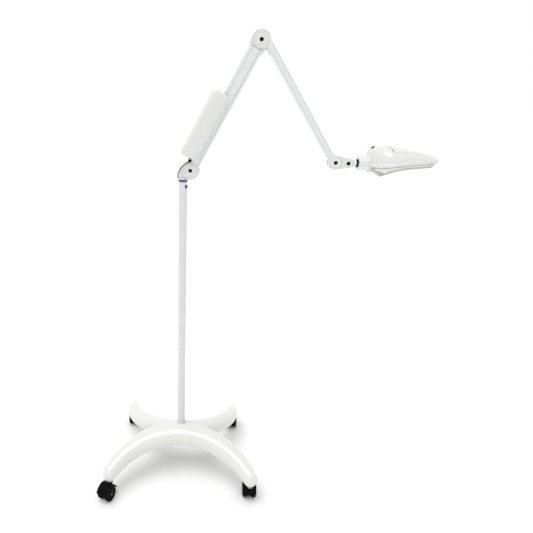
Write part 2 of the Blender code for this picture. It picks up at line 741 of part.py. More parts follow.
def build_shell(head):
    shell = piece("head_shell", head_form(), white_plastic(), head)
    cut(shell, head_form(SHELL_WALL, SHELL_BASE - 0.006))
    cut(shell, prism(cover_outline(COVER_MARGIN, COVER_REAR - 0.0028), 0.010, 0.080, "Z"))
    for side in (-1, 1):
        near, far = side * 0.012, side * 0.018
        span = (min(near, far), max(near, far))
        join(shell, block((0.0340, 0.0490), span, (HINGE[1] - 0.0026, HINGE[1] + 0.0014)))
    switch_hole = rod(SWITCH_RADIUS + GAP, -0.006, 0.006)
    switch_hole.transform(Matrix.Translation(SWITCH_PLACE) @ Matrix.Rotation(SWITCH_TILT, 4, "Y"))
    pin_hole = rod(0.0013, -0.019, 0.019, "Y", (HINGE[0], 0.0, HINGE[1]), 14)
    cut(shell, neck_room(), switch_hole, pin_hole)


def build_cover(hinge):
    """The flap over the lens; its frame sits on the hinge pin."""
    shift = Matrix.Translation((-HINGE[0], 0.0, -HINGE[1]))

    def placed(bm):
        bm.transform(shift)
        return bm

    cover = piece("lens_cover", placed(head_form()), white_plastic(), hinge)
    cut(cover, placed(head_form(COVER_WALL, SHELL_BASE - 0.006)))
    outline = cover_outline(COVER_MARGIN + 0.0007, COVER_REAR)
    combine(cover, placed(prism(outline, 0.005, 0.085, "Z")), "INTERSECT")
    join(cover, block((-0.0022, 0.0030), (-0.0115, 0.0115), (-0.0022, 0.0030)))
    for side in (-1, 1):
        near, far = side * 0.0115, side * 0.0185
        cut(cover, block((-0.01, 0.0055), (min(near, far), max(near, far)), (-0.01, 0.01)))
    notch = (HEAD_LENGTH - COVER_MARGIN + 0.0015, 0.0, 0.0)
    cut(cover, rod(0.0013, -0.03, 0.03, "Y", sides=14), placed(rod(0.0070, 0.0, 0.06, centre=notch)))
    piece("cover_hinge_pin", rod(0.0010, -0.0178, 0.0178, "Y", sides=14), bright_steel(), hinge)


def build_optics(head):
    centre = (LENS_CENTRE, 0.0, 0.0)
    pan = piece("reflector_pan", prism(plan(0.006), 0.0040, 0.0058, "Z"), white_alloy(), head)
    cut(pan, rod(0.0575, 0.0, 0.02, centre=centre, sides=28), neck_room())
    profile = [(0.0530, 0.0020), (0.0570, 0.0020), (0.0570, 0.0061), (0.0615, 0.0061), (0.0615, 0.0080)]
    profile += [(0.0585, 0.0080), (0.0585, 0.0125), (0.0556, 0.0125), (0.0556, 0.0045), (0.0530, 0.0045)]
    piece("lens_ring", turned(profile, "Z", centre, 28), white_plastic(), head)
    middle, edge, bulge = 0.0063, 0.0015, 0.0040
    face = []
    for k in range(4):
        share = k / 3
        face.append((LENS_RADIUS * share, middle - edge - bulge * (1 - share ** 2)))
    mirrored = [(radius, 2 * middle - level) for radius, level in reversed(face)]
    piece("magnifier_lens", turned(face + mirrored, "Z", centre, 28), clear_glass(), head)


def build_lamp(head):
    """The folded tube across the head's deepest part, and its holder."""
    first, second, level, radius, end = 0.0225, 0.0365, -0.0100, 0.0052, 0.0360
    bend = 0.5 * (second - first)
    centre = (0.5 * (first + second), -0.030)
    route = [(first, end)] + arc(centre, bend, math.pi, 2 * math.pi, 6) + [(second, end)]
    curve = bpy.data.curves.new("lamp_tube", "CURVE")
    curve.dimensions = "3D"
    curve.bevel_depth = radius
    curve.bevel_resolution = 2
    curve.use_fill_caps = True
    spline = curve.splines.new("POLY")
    spline.points.add(len(route) - 1)
    for slot, (x, y) in zip(spline.points, route):
        slot.co = (x, y, level, 1.0)
    curve.materials.append(milky_plastic())
    tube = bpy.data.objects.new("lamp_tube", curve)
    bpy.context.collection.objects.link(tube)
    tube.parent = head
    holder = block((0.0175, 0.0415), (end + GAP, 0.0445), (-0.0160, 0.0030))
    piece("lamp_holder", holder, white_plastic(), head)


def build_lower_frame(head):
    wall, lip = 0.0035, 0.0022
    top = SHELL_BASE - 0.0016
    section = [
        (FRAME_INSET, lambda x: top),
        (FRAME_INSET, keel),
        (0.0180, keel),
        (0.0180, lambda x: keel(x) + lip),
        (FRAME_INSET + wall, lambda x: keel(x) + lip),
        (FRAME_INSET + wall, lambda x: top),
    ]
    frame = piece("lower_frame", skirt(section), white_plastic(), head)
    cut(frame, neck_room())
    section = [
        (0.0088, lambda x: 0.0034),
        (0.0088, lambda x: keel(x) + lip + 0.0004),
        (0.0104, lambda x: keel(x) + lip + 0.0004),
        (0.0104, lambda x: 0.0034),
    ]
    diffuser = piece("light_diffuser", skirt(section), milky_plastic(), head)
    cut(diffuser, neck_room())


def build_switch(head):
    button = empty("switch_frame", SWITCH_PLACE, head, tilt=SWITCH_TILT)
    profile = [(0.0, -0.0080), (0.0056, -0.0080), (0.0056, -0.0066), (SWITCH_RADIUS, -0.0066)]
    profile += [(SWITCH_RADIUS, 0.0014), (0.0038, 0.0022), (0.0, 0.0022)]
    piece("power_switch", turned(profile, sides=20), black_plastic(), button)


def arm_frames(stand):
    pan = empty("pan_frame", (0.0, 0.0, 0.0), stand)
    lower = empty("shoulder_frame", SHOULDER, pan, tilt=-LOWER_ARM_RISE)
    turn = LOWER_ARM_RISE + UPPER_ARM_FALL
    upper = empty("elbow_frame", (LOWER_ARM_LENGTH, 0.0, 0.0), lower, tilt=turn)
    link = empty("wrist_frame", (UPPER_ARM_LENGTH, 0.0, 0.0), upper, tilt=LINK_FALL - UPPER_ARM_FALL)
    tilt = empty("tilt_frame", (LINK_LENGTH, 0.0, 0.0), link, tilt=-LINK_FALL)
    head = empty("swivel_frame", (HEAD_OFFSET, 0.0, 0.0), tilt)
    cover = empty("cover_frame", (HINGE[0], 0.0, HINGE[1]), head)
    return pan, lower, upper, link, tilt, head, cover


def build():
    clear_scene()
    stand = empty("stand_frame", POLE_AXIS)
    build_base(stand)
    build_base_fittings(stand)
    for name, (across, along, heading) in CASTER_HEADINGS.items():
        build_caster(name, stand, across, along, heading)
    build_pole(stand)
    pan, lower, upper, link, tilt, head, cover = arm_frames(stand)
    build_bracket(pan)
    build_lower_arm(lower)
    build_ballast_box(lower)
    build_ballast_lead(lower, pan)
    build_upper_arm(upper)
    build_link(link)
    build_tilt_eye(tilt)
    pivot_fittings("shoulder", lower, CHEEK_OUT, 0.0205)
    pivot_fittings("elbow", upper, CHEEK_OUT, 0.0195)
    pivot_fittings("wrist", link, CHEEK_OUT, 0.0165)
    pivot_fittings("tilt", tilt, LINK_CHEEK_OUT, 0.0115)
    for side, word in ((-1, "near"), (1, "far")):
        friction_washer(f"shoulder_washer_{word}", lower, 0.0200, side)
        friction_washer(f"elbow_washer_{word}", upper, 0.0190, side)
    build_neck(head)
    build_shell(head)
    build_cover(cover)
    build_optics(head)
    build_lamp(head)
    build_lower_frame(head)
    build_switch(head)


build()
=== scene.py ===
"""Studio view of the magnifying lamp on its rolling stand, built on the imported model."""
import json
import math

import bmesh
import bpy
from mathutils import Matrix, Vector


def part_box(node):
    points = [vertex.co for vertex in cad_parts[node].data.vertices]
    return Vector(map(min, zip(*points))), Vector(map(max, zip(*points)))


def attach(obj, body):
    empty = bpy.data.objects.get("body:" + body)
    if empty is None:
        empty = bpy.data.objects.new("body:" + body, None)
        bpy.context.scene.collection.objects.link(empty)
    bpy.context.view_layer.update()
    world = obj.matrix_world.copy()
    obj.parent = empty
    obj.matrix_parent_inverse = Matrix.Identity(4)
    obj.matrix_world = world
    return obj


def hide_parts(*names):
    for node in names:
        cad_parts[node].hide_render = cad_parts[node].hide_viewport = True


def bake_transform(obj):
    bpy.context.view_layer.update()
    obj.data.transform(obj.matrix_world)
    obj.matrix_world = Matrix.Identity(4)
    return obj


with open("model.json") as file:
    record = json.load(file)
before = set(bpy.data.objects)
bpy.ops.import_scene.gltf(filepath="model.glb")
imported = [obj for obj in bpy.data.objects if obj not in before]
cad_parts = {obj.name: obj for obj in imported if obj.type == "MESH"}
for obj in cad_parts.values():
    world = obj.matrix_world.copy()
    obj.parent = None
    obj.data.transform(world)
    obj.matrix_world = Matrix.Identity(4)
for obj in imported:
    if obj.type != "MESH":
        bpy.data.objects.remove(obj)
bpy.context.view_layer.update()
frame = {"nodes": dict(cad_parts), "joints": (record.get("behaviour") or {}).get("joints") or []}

JOINT = {j["name"]: j for j in frame["joints"]}
PLACE = {name: Vector(j["pos_m"]) for name, j in JOINT.items() if "pos_m" in j}
AXIS_TURN = {
    "X": Matrix.Rotation(math.pi / 2, 4, "Y"),
    "Y": Matrix.Rotation(-math.pi / 2, 4, "X"),
    "Z": Matrix.Identity(4),
}
CORNERS = ("front_left", "front_right", "rear_left", "rear_right")

# ---- joint frames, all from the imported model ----

PAN = PLACE["arm_pan"]
STAND = Matrix.Translation((PAN.x, PAN.y, 0.0))


def along(start, end):
    """A frame at start whose X runs to end, turned about Y only."""
    run = end - start
    return Matrix.Translation(start) @ Matrix.Rotation(-math.atan2(run.z, run.x), 4, "Y"), run.length


LOWER, LOWER_LENGTH = along(PLACE["shoulder"], PLACE["elbow"])
UPPER, UPPER_LENGTH = along(PLACE["elbow"], PLACE["wrist"])
LINK, LINK_LENGTH = along(PLACE["wrist"], PLACE["tilt"])
TILT = Matrix.Translation(PLACE["tilt"])
HEAD = Matrix.Translation(PLACE["head_swivel"])
HINGE = (PLACE["cover_hinge"].x - PLACE["head_swivel"].x, PLACE["cover_hinge"].z - PLACE["head_swivel"].z)
HEAD_OFFSET = PLACE["head_swivel"].x - PLACE["tilt"].x
SHOULDER = (PLACE["shoulder"].x - PAN.x, PLACE["shoulder"].z)
HEAD_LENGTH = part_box("head_shell")[1][0] - PLACE["head_swivel"].x

# clearance between neighbouring pieces
GAP = 0.0003

# ---- camera, at the photograph's viewing angle ----

CAMERA_LENS = 30.39
CAMERA_SENSOR = 36.0
CAMERA_SHIFT = 0.1754
CAMERA_FROM_PAN = (0.04064, -1.34872)
CAMERA_HEIGHT = 1.266
CAMERA_DOWN = 19.913
CAMERA_TURN = 3

camera = bpy.data.cameras.new("camera")
camera.lens = CAMERA_LENS
camera.sensor_width = CAMERA_SENSOR
camera.shift_x = CAMERA_SHIFT
view = bpy.data.objects.new("camera", camera)
bpy.context.collection.objects.link(view)
view.location = (PAN.x + CAMERA_FROM_PAN[0], PAN.y + CAMERA_FROM_PAN[1], CAMERA_HEIGHT)
view.rotation_euler = (math.radians(90 - CAMERA_DOWN), 0.0, math.radians(CAMERA_TURN))
bpy.context.scene.camera = view
bpy.context.scene.view_settings.view_transform = "Standard"


# ---- materials ----

COAT_ROUGHNESS = 0.06
DRIFT_SCALE = 14.0
SMEAR_SCALE = 55.0
LEAST_ROUGHNESS = 0.02
NEAR_BLACK = 0.02
SPECULAR = 0.5
NEAR_BLACK_SPECULAR = 0.05
BUMP_DISTANCE = 0.001


def link(tree, source, output, target, socket):
    tree.links.new(source.outputs[output], target.inputs[socket])


def node(tree, kind, **values):
    made = tree.nodes.new(kind)
    for name, value in values.items():
        if name in made.inputs:
            made.inputs[name].default_value = value
        else:
            setattr(made, name, value)
    return made


def map_range(tree, low, high, start=0.0, end=1.0):
    """A node that takes low..high to start..end."""
    spans = {"From Min": low, "From Max": high, "To Min": start, "To Max": end}
    return node(tree, "ShaderNodeMapRange", **spans)


def surface(name, colour, rough, metallic=0.0, coat=0.0, grain=900.0, depth=0.02, vary=0.02, spread=0.06, **extra):
    """Colour with a slow drift, roughness with a smear, and a fine bump; noise scales are per metre."""
    made = bpy.data.materials.new(name)
    made.use_nodes = True
    tree = made.node_tree
    shader = tree.nodes["Principled BSDF"]
    shader.inputs["Metallic"].default_value = metallic
    shader.inputs["Coat Weight"].default_value = coat
    shader.inputs["Coat Roughness"].default_value = COAT_ROUGHNESS
    specular = NEAR_BLACK_SPECULAR if max(colour) < NEAR_BLACK else SPECULAR
    shader.inputs["Specular IOR Level"].default_value = specular
    for socket, value in extra.items():
        shader.inputs[socket.replace("_", " ")].default_value = value
    where = node(tree, "ShaderNodeTexCoord")
    drift = node(tree, "ShaderNodeTexNoise", Scale=DRIFT_SCALE, Detail=3.0)
    link(tree, where, "Object", drift, "Vector")
    mix = node(tree, "ShaderNodeMix", data_type="RGBA")
    dark = tuple(c * (1 - vary * 2.0) for c in colour)
    mix.inputs["A"].default_value = (*dark, 1.0)
    mix.inputs["B"].default_value = (*colour, 1.0)
    ramp = map_range(tree, 0.35, 0.65)
    link(tree, drift, "Fac", ramp, "Value")
    link(tree, ramp, "Result", mix, "Factor")
    link(tree, mix, "Result", shader, "Base Color")
    fine = node(tree, "ShaderNodeTexNoise", Scale=grain, Detail=2.0)
    link(tree, where, "Object", fine, "Vector")
    smear = node(tree, "ShaderNodeTexNoise", Scale=SMEAR_SCALE, Detail=4.0)
    link(tree, where, "Object", smear, "Vector")
    gloss = map_range(tree, 0.3, 0.7, max(LEAST_ROUGHNESS, rough - spread), rough + spread)
    link(tree, smear, "Fac", gloss, "Value")
    link(tree, gloss, "Result", shader, "Roughness")
    bump = node(tree, "ShaderNodeBump", Strength=depth, Distance=BUMP_DISTANCE)
    link(tree, fine, "Fac", bump, "Height")
    link(tree, bump, "Normal", shader, "Normal")
    return made


ENAMEL = surface("white_enamel", (0.78, 0.78, 0.755), 0.22, coat=0.5, grain=420.0, depth=0.10, vary=0.008)
ALLOY = surface("white_alloy_paint", (0.80, 0.805, 0.81), 0.30, coat=0.2, grain=500.0, depth=0.08, vary=0.006)
PLASTIC = surface("white_moulding", (0.775, 0.78, 0.765), 0.28, coat=0.2, grain=700.0, depth=0.03, vary=0.006)
BAND = surface("white_bezel", (0.86, 0.86, 0.85), 0.30, grain=1500.0, depth=0.05, vary=0.006)
# painted shade: the keel's down-facing white moulding is drawn grey-green, as it looks in shade under the head
PAINTED_SHADE = surface("grey_green_painted_shade", (0.44, 0.44, 0.37), 0.34, coat=0.2, grain=1300.0, depth=0.06, vary=0.02)
POLE = surface("pole_satin", (0.74, 0.74, 0.755), 0.32, metallic=0.15, grain=1800.0, depth=0.05, vary=0.02)
BUSH = surface("bush_blue_grey", (0.085, 0.095, 0.15), 0.42, grain=1600.0, depth=0.12, vary=0.06)
BLACK = surface("black_moulding", (0.004, 0.004, 0.0045), 0.50, grain=2200.0, depth=0.20, vary=0.1)
CORD = surface("lead_sheath", (0.20, 0.20, 0.19), 0.45, grain=2400.0, depth=0.15, vary=0.08)
RUBBER = surface("black_tread", (0.005, 0.005, 0.005), 0.70, grain=2600.0, depth=0.30, vary=0.15)
STEEL = surface("zinc_steel", (0.60, 0.60, 0.61), 0.28, metallic=1.0, grain=2400.0, depth=0.15, vary=0.06)
IRON = surface("cast_iron_rough", (0.16, 0.16, 0.165), 0.68, metallic=0.5, grain=1100.0, depth=0.7, vary=0.2)
MILKY = surface("milky_moulding", (0.90, 0.90, 0.88), 0.42, grain=1500.0, depth=0.05, vary=0.01, Subsurface_Weight=0.2)
TUBE = surface("phosphor_tube", (0.93, 0.93, 0.90), 0.12, coat=0.8, grain=1200.0, depth=0.02, vary=0.02)
GLASS = surface(
    "lens_glass", (0.97, 0.99, 0.985), 0.03, grain=300.0, depth=0.004, vary=0.004, spread=0.015,
    Transmission_Weight=1.0, IOR=1.52,
)


# ---- mesh helpers ----

ON_AXIS = 1e-7
MERGE = 0.000004


def loft(bm, loops, closed=False):
    """Join loops of equal length by quads; closed joins the last to the first, otherwise both ends are capped."""
    for low, high in zip(loops, loops[1:] + (loops[:1] if closed else [])):
        for i, corner in enumerate(low):
            j = (i + 1) % len(low)
            bm.faces.new((corner, low[j], high[j], high[i]))
    if not closed:
        bm.faces.new(loops[0])
        bm.faces.new(loops[-1])
    return bm


def prism(outline, low, high, axis="Y"):
    """A straight solid on an outline of the other two coordinates, in X, Y, Z order."""
    slot = "XYZ".index(axis)
    bm = bmesh.new()
    ends = []
    for level in (low, high):
        ends.append([bm.verts.new((*point[:slot], level, *point[slot:])) for point in outline])
    return loft(bm, ends)


def block(x, y, z):
    outline = [(x[0], y[0]), (x[1], y[0]), (x[1], y[1]), (x[0], y[1])]
    return prism(outline, z[0], z[1], "Z")


def turned(profile, axis="Z", centre=(0.0, 0.0, 0.0), sides=72, phase=0.0):
    """Turn a closed profile of (radius, height) about an axis through centre."""
    bm = bmesh.new()
    rings = []
    for radius, height in profile:
        if radius < ON_AXIS:
            rings.append([bm.verts.new((0.0, 0.0, height))])
            continue
        ring = []
        for i in range(sides):
            angle = phase + 2 * math.pi * i / sides
            ring.append(bm.verts.new((radius * math.cos(angle), radius * math.sin(angle), height)))
        rings.append(ring)
    for k, low in enumerate(rings):
        high = rings[(k + 1) % len(rings)]
        if len(low) == 1 and len(high) == 1:
            continue
        for i in range(sides):
            j = (i + 1) % sides
            corners = [low[i % len(low)], low[j % len(low)], high[j % len(high)], high[i % len(high)]]
            bm.faces.new(list(dict.fromkeys(corners)))
    bm.transform(Matrix.Translation(Vector(centre)) @ AXIS_TURN[axis])
    return bm


def rod(radius, low, high, axis="Z", centre=(0.0, 0.0, 0.0), sides=48):
    return turned([(0.0, low), (radius, low), (radius, high), (0.0, high)], axis, centre, sides)


def ring(inner, outer, low, high, axis="Z", centre=(0.0, 0.0, 0.0), sides=72, ease=0.0004):
    """A round sleeve with eased rims."""
    profile = [(inner, low + ease), (inner + ease, low), (outer - ease, low), (outer, low + ease)]
    profile += [(outer, high - ease), (outer - ease, high), (inner + ease, high), (inner, high - ease)]
    return turned(profile, axis, centre, sides)


def arc(centre, radius, start, end, steps):
    points = []
    for i in range(steps + 1):
        angle = start + (end - start) * i / steps
        points.append((centre[0] + radius * math.cos(angle), centre[1] + radius * math.sin(angle)))
    return points


def disc(centre, radius, sides=88):
    return arc(centre, radius, 0.0, 2 * math.pi * (sides - 1) / sides, sides - 1)


def tapered(first, first_radius, second, second_radius, steps=40):
    """Outline round two discs and the straight tangents between them."""
    run = Vector(second) - Vector(first)
    heading = math.atan2(run.y, run.x)
    spread = math.acos((first_radius - second_radius) / run.length)
    near = arc(first, first_radius, heading + spread, heading + 2 * math.pi - spread, steps)
    far = arc(second, second_radius, heading - spread, heading + spread, steps)
    return near + far


def rounded_box(x, y, z, radius, segments=8):
    bm = block(x, y, z)
    bmesh.ops.bevel(
        bm, geom=bm.edges[:], offset=radius, offset_type="OFFSET", segments=segments, profile=0.5, affect="EDGES"
    )
    return bm


def raw_object(name, bm):
    bmesh.ops.recalc_face_normals(bm, faces=bm.faces)
    mesh = bpy.data.meshes.new(name)
    bm.to_mesh(mesh)
    bm.free()
    made = bpy.data.objects.new(name, mesh)
    bpy.context.collection.objects.link(made)
    return made


def settled(thing):
    """The object's mesh with its modifiers applied, as a new bmesh; the object is removed."""
    bpy.context.view_layer.update()
    graph = bpy.context.evaluated_depsgraph_get()
    mesh = bpy.data.meshes.new_from_object(thing.evaluated_get(graph))
    bm = bmesh.new()
    bm.from_mesh(mesh)
    bpy.data.meshes.remove(mesh)
    old = thing.data
    bpy.data.objects.remove(thing, do_unlink=True)
    bpy.data.meshes.remove(old)
    return bm


def carve(bm, *steps):
    """Boolean steps of ("UNION", bm) or ("DIFFERENCE", bm), done at once."""
    base = raw_object("carve_base", bm)
    tools = []
    for operation, shape in steps:
        tool = raw_object("carve_tool", shape)
        tools.append(tool)
        step = base.modifiers.new("step", "BOOLEAN")
        step.operation = operation
        step.solver = "EXACT"
        step.object = tool
    done = settled(base)
    for tool in tools:
        old = tool.data
        bpy.data.objects.remove(tool, do_unlink=True)
        bpy.data.meshes.remove(old)
    bmesh.ops.remove_doubles(done, verts=done.verts[:], dist=MERGE)
    bmesh.ops.dissolve_degenerate(done, edges=done.edges[:], dist=MERGE)
    return done


def cut(bm, *shapes):
    return carve(bm, *[("DIFFERENCE", shape) for shape in shapes])


def piece(name, bm, finish, body, replaces=(), place=None, bevel=0.0, sharp=32.0):
    """A finished piece on its body; place moves it from a joint frame into the shared frame."""
    if place is not None:
        bm.transform(place)
    made = raw_object(name, bm)
    mesh = made.data
    mesh.shade_smooth()
    mesh.set_sharp_from_angle(angle=math.radians(sharp))
    mesh.materials.append(finish)
    if bevel:
        edge = made.modifiers.new("edge", "BEVEL")
        edge.width = bevel
        edge.segments = 3
        edge.limit_method = "ANGLE"
        edge.angle_limit = math.radians(sharp)
        edge.use_clamp_overlap = True
        weigh = made.modifiers.new("shading", "WEIGHTED_NORMAL")
        weigh.keep_sharp = False
        mesh.shade_smooth()
        for line in mesh.edges:
            line.use_edge_sharp = False
    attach(made, body)
    if replaces:
        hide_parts(*replaces)
    return made


def paint(finish, *names):
    """A better material for CAD nodes whose shape is kept."""
    for name in names:
        thing = frame["nodes"][name]
        thing.data.materials.clear()
        thing.data.materials.append(finish)


# ---- stand ----

# a pair of legs: its side of the pole, its foot, its offset, and its crown's level, half width and half height
FRONT_PAIR = (-1, (0.2375, 0.167), 0.030, (0.146, 0.040, 0.036))
REAR_PAIR = (1, (0.199, 0.187), 0.0, (0.142, 0.030, 0.030))
ARCH_FOOT = (0.087, 0.0215, 0.0275)
ARCH_WALL = 0.004
TIP_REACH = 0.021
SMOOTHING_LOSS = 0.0006
UNDERSIDE_LIFT = 0.30
BASE_VOXEL = 0.0030
# half width, span across and top of the room for the weight
POCKET = (0.063, (-0.061, 0.017), 0.1495)
WEIGHT = ((-0.060, 0.060), (-0.058, 0.014), (0.1185, 0.1485))
WEIGHT_BORE = 0.0043
BOLT_SHANK = 0.0040
BOLT_TOP = 0.166
BOSS_RADIUS = 0.022
BOSS_TOP = 0.171
SEAT_RADIUS = 0.0168
SEAT_LEVEL = 0.1640
STEM_HOLE = (0.0058, 0.05, 0.0803)
POLE_RADIUS = 0.0125
POLE_WALL = 0.0015
POLE_ENDS = (0.1490, 1.0495)
BUSH_FOOT = 0.9945
GRUB_LEVEL = 1.0330
GRUB_BEARING = math.radians(-40)
BUSH_TOP = 1.0530
SPINDLE_RADIUS = 0.0080


def arch(pair, inset=0.0, drop=0.0, end_gap=0.0, stations=81, around=40, lift=0.0):
    """One bowed pair of legs; its side is -1 for the near pair and 1 for the far pair."""
    side, foot, offset, crown = pair
    reach = foot[1] - offset
    radius = (foot[0] ** 2 + reach ** 2) / (2 * reach)
    foot_angle = math.asin(foot[0] / radius)
    tip_angle = foot_angle + (TIP_REACH - end_gap) / radius
    bm = bmesh.new()
    rings = []
    for i in range(stations):
        share = math.sin(math.pi / 2 * (2 * i / (stations - 1) - 1))
        angle = tip_angle * share
        mix = min(1.0, abs(angle) / foot_angle) ** 2
        level, width, height = (m + (f - m) * mix for m, f in zip(crown, ARCH_FOOT))
        to_tip = radius * (tip_angle - abs(angle)) / TIP_REACH
        shrink = math.sqrt(max(0.03, 1 - max(0.0, 1 - to_tip) ** 2)) if inset <= 0.0 else 1.0
        width = (width - inset) * shrink
        height = (height - inset) * shrink
        middle = Vector((radius * math.sin(angle), side * (offset + radius * (1 - math.cos(angle))), level))
        across = Vector((-math.sin(angle), side * math.cos(angle), 0.0))
        loop = []
        for k in range(around):
            turn = 2 * math.pi * (k + 0.5) / around
            out = math.copysign(abs(math.cos(turn)) ** 0.85, math.cos(turn)) * width
            up = math.copysign(abs(math.sin(turn)) ** 0.85, math.sin(turn)) * height
            if up < 0.0:
                up = up * (1 - lift * mix) - drop
            loop.append(bm.verts.new(middle + across * out + Vector((0.0, 0.0, up))))
        rings.append(loop)
    return loft(bm, rings)


def build_base():
    grow = {"inset": -SMOOTHING_LOSS, "lift": UNDERSIDE_LIFT}
    rear = arch(REAR_PAIR, **grow)
    outer = raw_object("base_outer", carve(arch(FRONT_PAIR, inset=-SMOOTHING_LOSS), ("UNION", rear)))
    remesh = outer.modifiers.new("remesh", "REMESH")
    remesh.mode = "VOXEL"
    remesh.voxel_size = BASE_VOXEL
    remesh.adaptivity = 0.0
    ease = outer.modifiers.new("ease", "SMOOTH")
    ease.factor = 0.5
    ease.iterations = 7
    outer = settled(outer)
    hollow = {"inset": ARCH_WALL, "drop": 0.03, "end_gap": 0.062, "stations": 41}
    shell = cut(outer, arch(FRONT_PAIR, **hollow), arch(REAR_PAIR, **hollow))
    boss = rod(BOSS_RADIUS, POCKET[2] - 0.002, BOSS_TOP)
    room = block((-POCKET[0], POCKET[0]), POCKET[1], (0.09, POCKET[2]))
    steps = [("UNION", boss), ("DIFFERENCE", room), ("DIFFERENCE", rod(SEAT_RADIUS, SEAT_LEVEL, 0.20))]
    steps.append(("DIFFERENCE", rod(POLE_RADIUS + GAP, 0.12, 0.20)))
    for name in CORNERS:
        spot = PLACE[f"{name}_swivel"] - PAN
        steps.append(("DIFFERENCE", rod(*STEM_HOLE, centre=(spot.x, spot.y, 0.0))))
    base = carve(shell, *steps)
    low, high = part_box("base_casting")
    for vert in base.verts:
        vert.co.x = min(max(vert.co.x, low[0] - PAN.x), high[0] - PAN.x)
        vert.co.y = min(max(vert.co.y, low[1] - PAN.y), high[1] - PAN.y)
    piece("base_shell", base, ENAMEL, "stand", ["base_casting"], STAND, sharp=40.0)
    weight = cut(rounded_box(*WEIGHT, 0.0025, 3), rod(WEIGHT_BORE, 0.09, 0.16))
    piece("base_ballast", weight, IRON, "stand", ["base_weight"], STAND)
    head = WEIGHT[2][0] - GAP
    bolt = turned([(0.0, head - 0.006), (0.0067, head - 0.006), (0.0075, head - 0.0054), (0.0075, head),
                   (BOLT_SHANK, head), (BOLT_SHANK, BOLT_TOP), (0.0, BOLT_TOP)], sides=6)
    piece("base_bolt", bolt, STEEL, "stand", ["pole_bolt"], STAND, bevel=0.0003)


def build_pole():
    tube = ring(POLE_RADIUS - POLE_WALL, POLE_RADIUS, *POLE_ENDS, sides=128)
    piece("pole_tube_skin", tube, POLE, "stand", ["pole_tube"], STAND)
    inner = POLE_RADIUS + 0.0002
    collar = [(inner, 0.1643), (0.0162, 0.1643), (0.0165, 0.1646), (0.0165, 0.1740), (0.01645, 0.1756)]
    collar += [(0.0161, 0.1775), (0.0155, 0.1800), (0.0149, 0.1825), (0.0144, 0.1855), (0.0141, 0.1876)]
    collar += [(0.0137, 0.1880), (inner, 0.1880)]
    piece("pole_collar_skin", turned(collar, sides=96), POLE, "stand", ["pole_collar"], STAND)
    bore = SPINDLE_RADIUS + GAP
    lip = [(bore, BUSH_TOP - 0.0004), (bore + 0.0004, BUSH_TOP), (0.0126, BUSH_TOP), (0.0133, BUSH_TOP - 0.0004)]
    lip += [(0.0136, BUSH_TOP - 0.0012), (0.0136, 1.0474), (0.0133, 1.0470), (POLE_RADIUS + 0.0001, 1.0470)]
    lip += [(POLE_RADIUS + 0.0001, 1.0497), (0.0107, 1.0497), (0.0107, BUSH_FOOT), (bore, BUSH_FOOT)]
    piece("pole_bush_skin", turned(lip, sides=96), BUSH, "stand", ["pole_bush"], STAND)
    screw = turned([(0.0, 0.0083), (0.0020, 0.0083), (0.0020, 0.0146), (0.0017, 0.0149), (0.0010, 0.0149),
                    (0.0010, 0.0138), (0.0, 0.0138)], "X", sides=24)
    ear = turned([(0.0, 0.0110), (0.0052, 0.0110), (0.0052, 0.0138), (0.0046, 0.0142), (0.0024, 0.0142),
                  (0.0024, 0.0132), (0.0, 0.0132)], "X", sides=40)
    place = STAND @ Matrix.Rotation(GRUB_BEARING, 4, "Z") @ Matrix.Translation((0.0, 0.0, GRUB_LEVEL))
    piece("bush_screw_boss", ear, BUSH, "stand", (), place)
    piece("bush_screw", screw, BLACK, "stand", ["bush_grub_screw"], place)
    paint(IRON, "pole_foot_plug")


WHEEL_RADIUS = 0.0250
HUB_HEIGHT = PLACE["front_left_near_spin"].z
WHEEL_OUT = 0.0220
HOOD_SPAN = (math.radians(20), math.radians(165))
HOOD_RISE = (0.0018, 0.0054)
AXLE_BORE = 0.0033
HUB_HOLES = 5
HUB_HOLE_RADIUS = 0.0022
HUB_HOLES_AT = 0.0138


def wheel(direction):
    """The tyre and the hub of one wheel, on the near side for direction -1 and the far side for 1."""
    rim = HUB_HEIGHT - 0.0001
    tread = [(0.0190, 0.0070), (rim - 0.0010, 0.0070), (rim - 0.0003, 0.0074), (rim, 0.0084), (rim, 0.0186)]
    tread += [(rim - 0.0003, 0.0198), (rim - 0.0010, 0.0209), (rim - 0.0021, 0.0216), (0.0212, 0.0219)]
    tread += [(0.0200, 0.0217), (0.0190, 0.0208)]
    hub = [(0.0033, 0.0072), (0.0190, 0.0074), (0.0190, 0.0205), (0.0186, 0.0209), (0.0180, 0.0200)]
    hub += [(0.0165, 0.0193), (0.0120, 0.0198), (0.0085, 0.0206), (0.0078, 0.0218), (0.0062, 0.0220)]
    hub += [(0.0055, 0.0212), (0.0033, 0.0210)]
    flip = [[(r, direction * y) for r, y in points] for points in (tread, hub)]
    return turned(flip[0], "Y", sides=96), turned(flip[1], "Y", sides=96)


